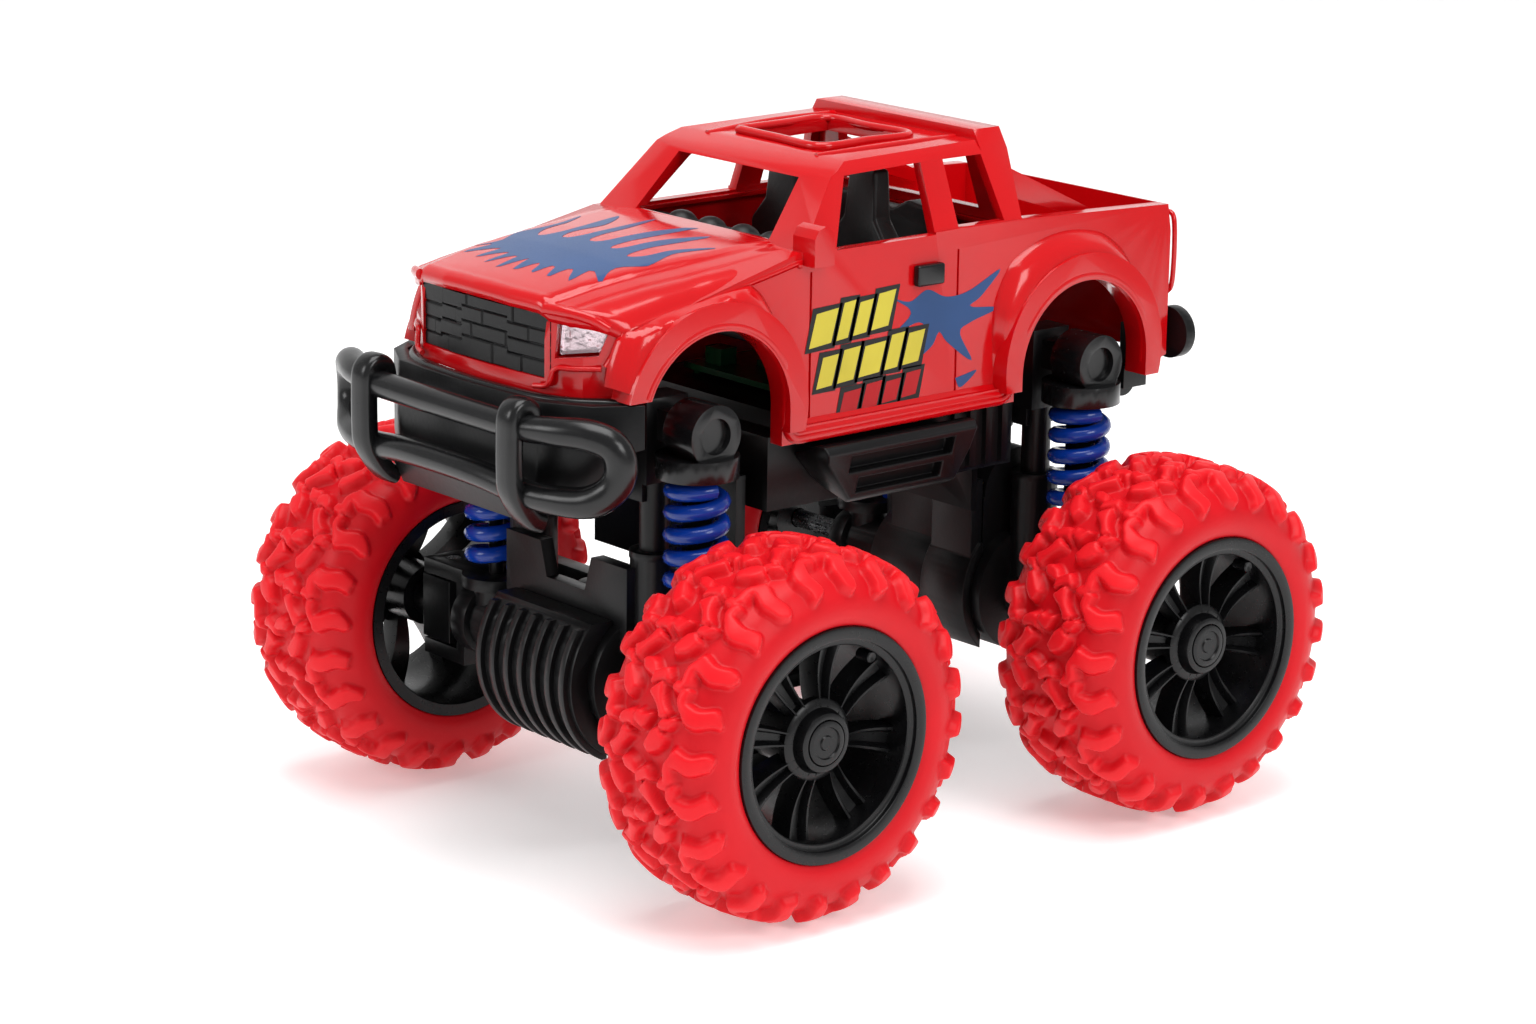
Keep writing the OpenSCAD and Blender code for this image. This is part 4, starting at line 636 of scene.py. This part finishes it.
TAILGATE = [(-21.5, 100), (-21.5, 113), (-20, 114.4), (0, 114.6), (20, 114.4), (21.5, 113), (21.5, 100),
            (20, 98.6), (0, 98.4), (-20, 98.6)]
LATCH = [(-5, 108), (-5, 111), (0, 111.6), (5, 111), (5, 108), (0, 107.4)]
SUNROOF = [(-12.4, -2.6), (0, -2.8), (12.4, -2.6), (12.6, 9), (12.4, 20.9), (0, 21.1), (-12.4, 20.9),
           (-12.6, 9)]
lines = []
for side in (1, -1):
    for points, count, radius, sides, flat in SIDE_LINES:
        path = smooth_line([(side * x, y, z) for x, y, z in points], count)
        lines.append((tube(path, radius, sides, flat), False, True, True))
    lines.append(tail_outline([(side * x, z) for x, z in TAIL_LAMP], 60, 0.55))
lines += [tail_outline(TAILGATE, 90, 0.6), tail_outline(LATCH, 48, 0.5)]
sunroof_rim = closed_line([(x, y, ROOF_Z + 0.1) for x, y in SUNROOF], 72)
lines.append((tube(sunroof_rim, 0.9, 10), True, True, False))
piece("moulded_lines", lines, body_plastic, "chassis", sharp=60)

# ---------- bull bar ----------
# One closed tube runs across the nose, round both corners and back below. Two broad flat uprights
# with rolled heads hold it, and curl back under the apron, whose upper edge has a thick lip.
UPRIGHT_X, LIP_Z = 23, 95.0
UPRIGHT_LINE = [
    (-81.8, 92.6), (-82.4, 95.0), (-84.4, 95.8), (-86.1, 94.2), (-86.35, 90), (-86.35, 84), (-86.0, 80.2),
    (-84.0, 76.6), (-81.8, 74.2), (-79.9, 73.2)]
HALF_LOOP = [
    (12, -84.6, 92), (23.5, -84.2, 92), (31, -82.5, 92.4), (37.5, -79.2, 92.3), (41.2, -76.6, 90.6),
    (42.3, -75.6, 86.9), (41.2, -76.4, 82.8), (37.5, -79.0, 79.9), (31, -81.7, 79.3), (23.5, -83.3, 79.4),
    (12, -84.4, 80.7)]
bar_loop = closed_line([(0, -84.6, 92)] + HALF_LOOP + [(0, -84.6, 81)]
                       + [(-x, y, z) for x, y, z in HALF_LOOP[::-1]], 220)
bar_radius = 2.6 + 0.5 * np.clip((np.abs(bar_loop[:, 0]) - 28) / 10, 0, 1)
bars = [(tube(bar_loop, bar_radius, 20), True, True, False)]
for side in (1, -1):
    upright = smooth_line([(side * UPRIGHT_X, y, z) for y, z in UPRIGHT_LINE], 60)
    bars.append((tube(upright, 2.7, 24, flat=0.7, boxy=0.62), False, True, True))
lip = smooth_line([(x, float(nose_line(x)) - 0.1, LIP_Z)
                   for x in (-33, -29, -24, -16, 0, 16, 24, 29, 33)], 60)
bars.append((tube(lip, 1.25, 16, flat=1.0, boxy=0.7), False, True, True))
piece("nose_bars", bars, bar_plastic, "chassis", ["bull_bar"], sharp=60)

# ---------- grille ----------
# A black plate of long bricks in four rows. A fine groove runs round each brick, and the rows step
# up in the middle of the plate.
BRICK_ENDS = [(-20, -10.5, 3.5, 12, 20), (-20, -15, -3, 7.5, 20), (-20, -8, 0.5, 14, 20),
              (-20, -12.5, -4.5, 9.5, 20)]
ROW_EDGES = [98, 102.1, 105, 107.9, 112]
PLATE_HALF, PLATE_LOW, PLATE_HIGH = 20.2, 99.1, 110.9
PLATE_Y, PLATE_BACK_Y, PLATE_BOW = -75.2, -73.4, 0.0022


def brick_relief(x, z):
    """How far the plate stands out: bricks differ by a tenth or two, and the groove round each has
    sloping sides."""
    brick_step, groove_depth, groove_side = 0.16, 0.32, 0.3
    z = z - 0.9 * ((x > -6) & (x < 8)) + 0.5 * (x < -13)
    gap = np.full(np.broadcast(x, z).shape, 9.0)
    lift = np.zeros(gap.shape)
    for row, ends in enumerate(BRICK_ENDS):
        inside_row = (z >= ROW_EDGES[row]) & (z < ROW_EDGES[row + 1])
        gap = np.where(inside_row, np.minimum(z - ROW_EDGES[row], ROW_EDGES[row + 1] - z), gap)
        for col, end in enumerate(ends):
            gap = np.where(inside_row, np.minimum(gap, np.abs(x - end)), gap)
            lift = np.where(inside_row & (x >= end), brick_step * ((2 * col + 3 * row) % 3), lift)
    return lift + groove_depth * ease(gap / groove_side)


x = np.linspace(-PLATE_HALF, PLATE_HALF, 300)[None, :]
z = np.linspace(PLATE_LOW, PLATE_HIGH, 90)[:, None]
plate = np.stack(np.broadcast_arrays(x, PLATE_Y + PLATE_BOW * x**2 - brick_relief(x, z), z), -1)
plate = np.pad(plate, ((1, 1), (1, 1), (0, 0)), "edge")
plate[[0, -1], :, 1] = PLATE_BACK_Y
plate[:, [0, -1], 1] = PLATE_BACK_Y
walled(piece("brick_grille", [(plate, False, False, False)], chassis_plastic, "chassis",
             ["grille_insert"], sharp=35), 0.8)

# ---------- printed flames ----------
# Pad-printed blue flames on the bonnet and the door, and plain strokes in yellow, black and red
# under the door handle.
print_inks = {}
for ink_name, colour in (("blue", (0.022, 0.07, 0.2)), ("yellow", (0.6, 0.52, 0.05)),
                         ("black", (0.012, 0.012, 0.012)), ("red", (0.42, 0.006, 0.01))):
    print_inks[ink_name] = moulded(ink_name + " printing ink", colour, 0.3, grain=0.2, size=2500.0,
                                   shade=0.86, bump=0.05)


def printed(name, outlines, lay, material, lift):
    """A flat print: outlines in its own plane are filled with small triangles and laid on a surface,
    a hair above it."""
    triangle = 0.8
    points, faces = [], []
    for outline in outlines:
        line = np.array(outline, float)
        lo, hi = line.min(0), line.max(0)
        grid_u, grid_v = np.meshgrid(np.arange(lo[0], hi[0], triangle), np.arange(lo[1], hi[1], triangle))
        inner = np.stack([grid_u.ravel(), grid_v.ravel()], -1)
        # a point is inside where a level line from it crosses the outline an odd number of times
        a, b = line, np.roll(line, -1, 0)
        crossing = ((a[:, 1] > inner[:, None, 1]) != (b[:, 1] > inner[:, None, 1])) & (
            inner[:, None, 0] < (b[:, 0] - a[:, 0]) * (inner[:, None, 1] - a[:, 1])
            / np.where(b[:, 1] == a[:, 1], 1e-9, b[:, 1] - a[:, 1]) + a[:, 0])
        inner = inner[crossing.sum(1) % 2 == 1]
        every = np.concatenate([line, inner])
        filled = delaunay_2d_cdt([tuple(p) for p in every.tolist()], [], [list(range(len(line)))], 1, 1e-5)
        faces += [[k + len(points) for k in face] for face in filled[2]]
        points += [tuple(p) for p in filled[0]]
    flat = np.array([tuple(p) for p in points], float)
    mesh = bpy.data.meshes.new(name)
    mesh.from_pydata((lay(flat[:, 0], flat[:, 1], lift) * MM).tolist(), [], faces)
    work = bmesh.new()
    work.from_mesh(mesh)
    bmesh.ops.recalc_face_normals(work, faces=work.faces)
    work.to_mesh(mesh)
    work.free()
    return placed(name, mesh, material, "chassis", (), 180)


def on_bonnet(u, v, lift):
    """Lays a print on the bonnet: u is x, v is y."""
    return np.stack([u, v, bonnet_top(u, v) + lift], -1)


# the left half of the outline, from the front middle to the rear; v is y, so the nose is its low end
FLAME_EDGE = [
    (0, -64.2), (2.6, -70.2), (4.2, -64.8), (7.0, -69.4), (7.8, -64.0), (11.4, -69.0), (11.6, -63.0),
    (16.4, -67.6), (15.2, -61.2), (20.6, -63.6), (17.6, -57.6), (20.4, -52.0), (18.4, -44.0),
    (20.6, -35.0), (16.6, -42.0), (15.6, -49.0), (13.4, -51.6), (12.2, -46.0), (13.6, -31.0),
    (9.6, -38.5), (8.6, -48.0), (7.0, -50.4), (5.8, -46.0), (6.2, -28.0), (2.6, -36.0), (2.0, -47.0),
    (0, -49.6)]
# the right half is the mirrored one, moved a little so that the two differ
outline = FLAME_EDGE + [(-u - 0.8 * math.sin(v), v + 0.9 * math.sin(1.7 * u)) for u, v in FLAME_EDGE[-2:0:-1]]
printed("bonnet_flame_print", [closed_line(outline, 260)], on_bonnet, print_inks["blue"], 0.05)


def on_door(side):
    """Lays a print on a door skin: u is y, v is z."""
    return lambda u, v, lift: np.stack([side * (HALF_WIDTH + lift) + 0 * u, u, v], -1)


FLAME_LIFT, EDGE_LIFT, STROKE_LIFT = 0.06, 0.09, 0.12
STROKE_GAP, EDGE_WIDTH = 1.3, 1.2
DOOR_TONGUES = [
    (-0.5, 107.0), (4.5, 105.6), (9, 107.4), (14, 105.4), (20, 105.8), (28.6, 109.2), (23.6, 104.4),
    (20.6, 102.6), (28.0, 101.4), (20.8, 99.4), (18.0, 97.6), (21.4, 91.6), (14.6, 96.2), (12.4, 98.6),
    (10.6, 96.0), (6.8, 94.2), (9.2, 98.6), (6.8, 101.2), (0.4, 99.6), (4.8, 103.4)]
DROP = [(17.0, 88.6), (18.6, 86.6), (22.8, 89.4), (19.4, 89.0)]
DOOR_FLAME = [closed_line(corners, 120) for corners in (DOOR_TONGUES, DROP)]


def slanted_blocks(start, rise, sizes):
    """A row of slanted bars side by side, each with its own width and height, climbing to the rear."""
    bars, u = [], start[0]
    for width, height in sizes:
        v, lean = start[1] + rise * (u - start[0]), 0.28 * height
        bars.append([(u, v), (u + width, v + rise * width),
                     (u + width + lean, v + rise * width + height), (u + lean, v + height)])
        u += width + STROKE_GAP
    return bars


STROKES = (
    slanted_blocks((-21.5, 99.6), 0.10, [(5.6, 6.6), (3.0, 7.2), (3.4, 6.4), (4.4, 7.0)])
    + slanted_blocks((-19.5, 91.4), 0.08, [(4.0, 6.0), (4.2, 6.4), (5.4, 6.0), (3.4, 6.8), (4.2, 6.2)]))
RED_STROKES = slanted_blocks((-13.5, 85.4), 0.08, [(4.4, 4.4), (4.0, 4.8), (3.8, 4.2), (3.8, 4.8)])


def grown(outline, by):
    """An outline with every point moved outwards by the same distance along the mean of the two edges'
    normals."""
    p = np.array(outline, float)
    if np.sum(p[:, 0] * np.roll(p[:, 1], -1) - np.roll(p[:, 0], -1) * p[:, 1]) < 0:
        p = p[::-1]
    edge = np.roll(p, -1, 0) - p
    normal = np.stack([edge[:, 1], -edge[:, 0]], -1) / np.linalg.norm(edge, axis=1)[:, None]
    mean = normal + np.roll(normal, 1, 0)
    return p + by * mean / np.maximum(1.0, 0.5 * (mean**2).sum(1))[:, None]


for side, side_name in ((1, "left"), (-1, "right")):
    lay = on_door(side)
    edges = [grown(bar, EDGE_WIDTH) for bar in STROKES + RED_STROKES]
    printed("door_flame_print_" + side_name, DOOR_FLAME, lay, print_inks["blue"], FLAME_LIFT)
    printed("door_stroke_edges_" + side_name, edges, lay, print_inks["black"], EDGE_LIFT)
    printed("door_strokes_yellow_" + side_name, STROKES, lay, print_inks["yellow"], STROKE_LIFT)
    printed("door_strokes_red_" + side_name, RED_STROKES, lay, print_inks["red"], STROKE_LIFT)

# ---------- steel, gears and electrics ----------
# Small bought-in parts inside the truck: steel rods, pins and screws, brass pinion, nylon gears,
# copper coils, the cells and the circuit board, and the small black parts beside them.


def metal(name, colour, roughness, grain_size=900.0):
    """A turned or drawn metal, with a fine grain."""
    made = moulded(name, colour, roughness, grain=0.6, size=grain_size, shade=0.85, spread=0.15, bump=0.1)
    made.node_tree.nodes["Principled BSDF"].inputs["Metallic"].default_value = 1.0
    return made


steel = metal("bright steel", (0.58, 0.58, 0.6), 0.2)
brass = metal("turned brass", (0.72, 0.5, 0.2), 0.25)
copper = metal("copper winding", (0.62, 0.27, 0.11), 0.35)
gear_nylon = moulded("white gear nylon", (0.78, 0.76, 0.7), 0.4)
board_mask = moulded("green board", (0.015, 0.16, 0.05), 0.3)
cell_sleeve = moulded("cell sleeve", (0.08, 0.16, 0.07), 0.25)
knob_plastic = moulded("red knob plastic", (0.5, 0.01, 0.012), 0.3)
for material, names in (
        (steel, ["body_screws", "battery_contacts", "battery_door_screw", "kingpins", "stub_axle_left",
                 "stub_axle_right", "drive_motor", "rear_axle_shaft"]),
        (brass, ["motor_pinion"]), (copper, ["steering_coil"]), (gear_nylon, ["reduction_gear", "axle_gear"]),
        (board_mask, ["receiver_board"]), (cell_sleeve, ["battery_cells"]),
        (knob_plastic, ["power_switch_knob"]),
        (chassis_plastic, ["power_switch_case", "steering_wheel", "guide_rods", "front_shock_rods",
                           "rear_shock_rods"])):
    for name in names:
        for place in frame["nodes"][name].material_slots:
            place.material = material

# ---------- headlights ----------
# A clear lens over a bright reflector on each corner of the nose.
lens_clear = bpy.data.materials.new("clear lamp lens")
lens_clear.use_nodes = True
shader = lens_clear.node_tree.nodes["Principled BSDF"]
shader.inputs["Base Color"].default_value = (0.95, 0.9, 0.92, 1)
shader.inputs["Roughness"].default_value = 0.04
shader.inputs["Transmission Weight"].default_value = 1.0
shader.inputs["IOR"].default_value = 1.45
reflector_chrome = metal("bright reflector", (0.86, 0.72, 0.76), 0.12, 420.0)
for node in reflector_chrome.node_tree.nodes:
    if node.type == "BUMP":
        node.inputs["Strength"].default_value, node.inputs["Distance"].default_value = 0.9, 0.0006
eased("headlight_lenses", 0.5, lens_clear, 3)
for place in frame["nodes"]["headlight_reflectors"].material_slots:
    place.material = reflector_chrome

# ---------- table and light ----------
# A pale seamless table that glows a little, under large soft lamps. Its floor lies a hair below the
# tyres and sweeps up behind the truck.
FLOOR_FRONT, FLOOR_BACK, SWEEP_R, FLOOR_Z = -2.5, 1.2, 0.8, -0.0002
bend = np.linspace(0.15, np.pi / 2, 9)
y = np.concatenate([np.linspace(FLOOR_FRONT, FLOOR_BACK, 8), FLOOR_BACK + SWEEP_R * np.sin(bend), [2.0, 2.0]])
z = np.concatenate([np.zeros(8), SWEEP_R - SWEEP_R * np.cos(bend), [1.6, 3.0]])
back_dir = -back[:2] / np.linalg.norm(back[:2])
side_dir = np.array([-back_dir[1], back_dir[0]])
spread = np.linspace(-4, 4, 9)
grid = np.stack(np.broadcast_arrays(back_dir[0] * y[:, None] + side_dir[0] * spread,
                                    back_dir[1] * y[:, None] + side_dir[1] * spread,
                                    z[:, None] + FLOOR_Z), -1)
table_mesh = mesh_of("table", [(grid / MM, False, False, False)])
table_paint = bpy.data.materials.new("pale table")
table_paint.use_nodes = True
for label, value in (("Base Color", (0.92, 0.92, 0.92, 1)), ("Roughness", 0.6),
                     ("Emission Color", (1, 1, 1, 1)), ("Emission Strength", 0.32)):
    table_paint.node_tree.nodes["Principled BSDF"].inputs[label].default_value = value
table_mesh.materials.append(table_paint)
table = bpy.data.objects.new("table", table_mesh)
bpy.context.scene.collection.objects.link(table)


def soft_lamp(name, place, size, power, aim=(0.0, 0.0, 0.07)):
    """A square area lamp that points at the truck."""
    light = bpy.data.lights.new(name, "AREA")
    light.size, light.energy = size, power
    lamp = bpy.data.objects.new(name, light)
    away = np.array(place) - np.array(aim)
    z_axis = away / np.linalg.norm(away)
    x_axis = np.cross([0.0, 0.0, 1.0], z_axis)
    x_axis /= np.linalg.norm(x_axis)
    turned_axes = np.stack([x_axis, np.cross(z_axis, x_axis), z_axis], 1)
    lamp.matrix_world = Matrix([[*map(float, row), at] for row, at in zip(turned_axes, place)]
                               + [[0, 0, 0, 1]])
    bpy.context.scene.collection.objects.link(lamp)


soft_lamp("overhead", (0.1, -0.1, 0.95), size=0.7, power=8.0)
soft_lamp("front_left", (0.75, 0.0, 0.5), size=0.35, power=2.4)
soft_lamp("front_right", (-0.3, -0.85, 0.45), size=0.35, power=2.0)
world = bpy.data.worlds.new("pale studio")
world.use_nodes = True
world.node_tree.nodes["Background"].inputs["Color"].default_value = (1, 1, 1, 1)
world.node_tree.nodes["Background"].inputs["Strength"].default_value = 0.42
bpy.context.scene.world = world
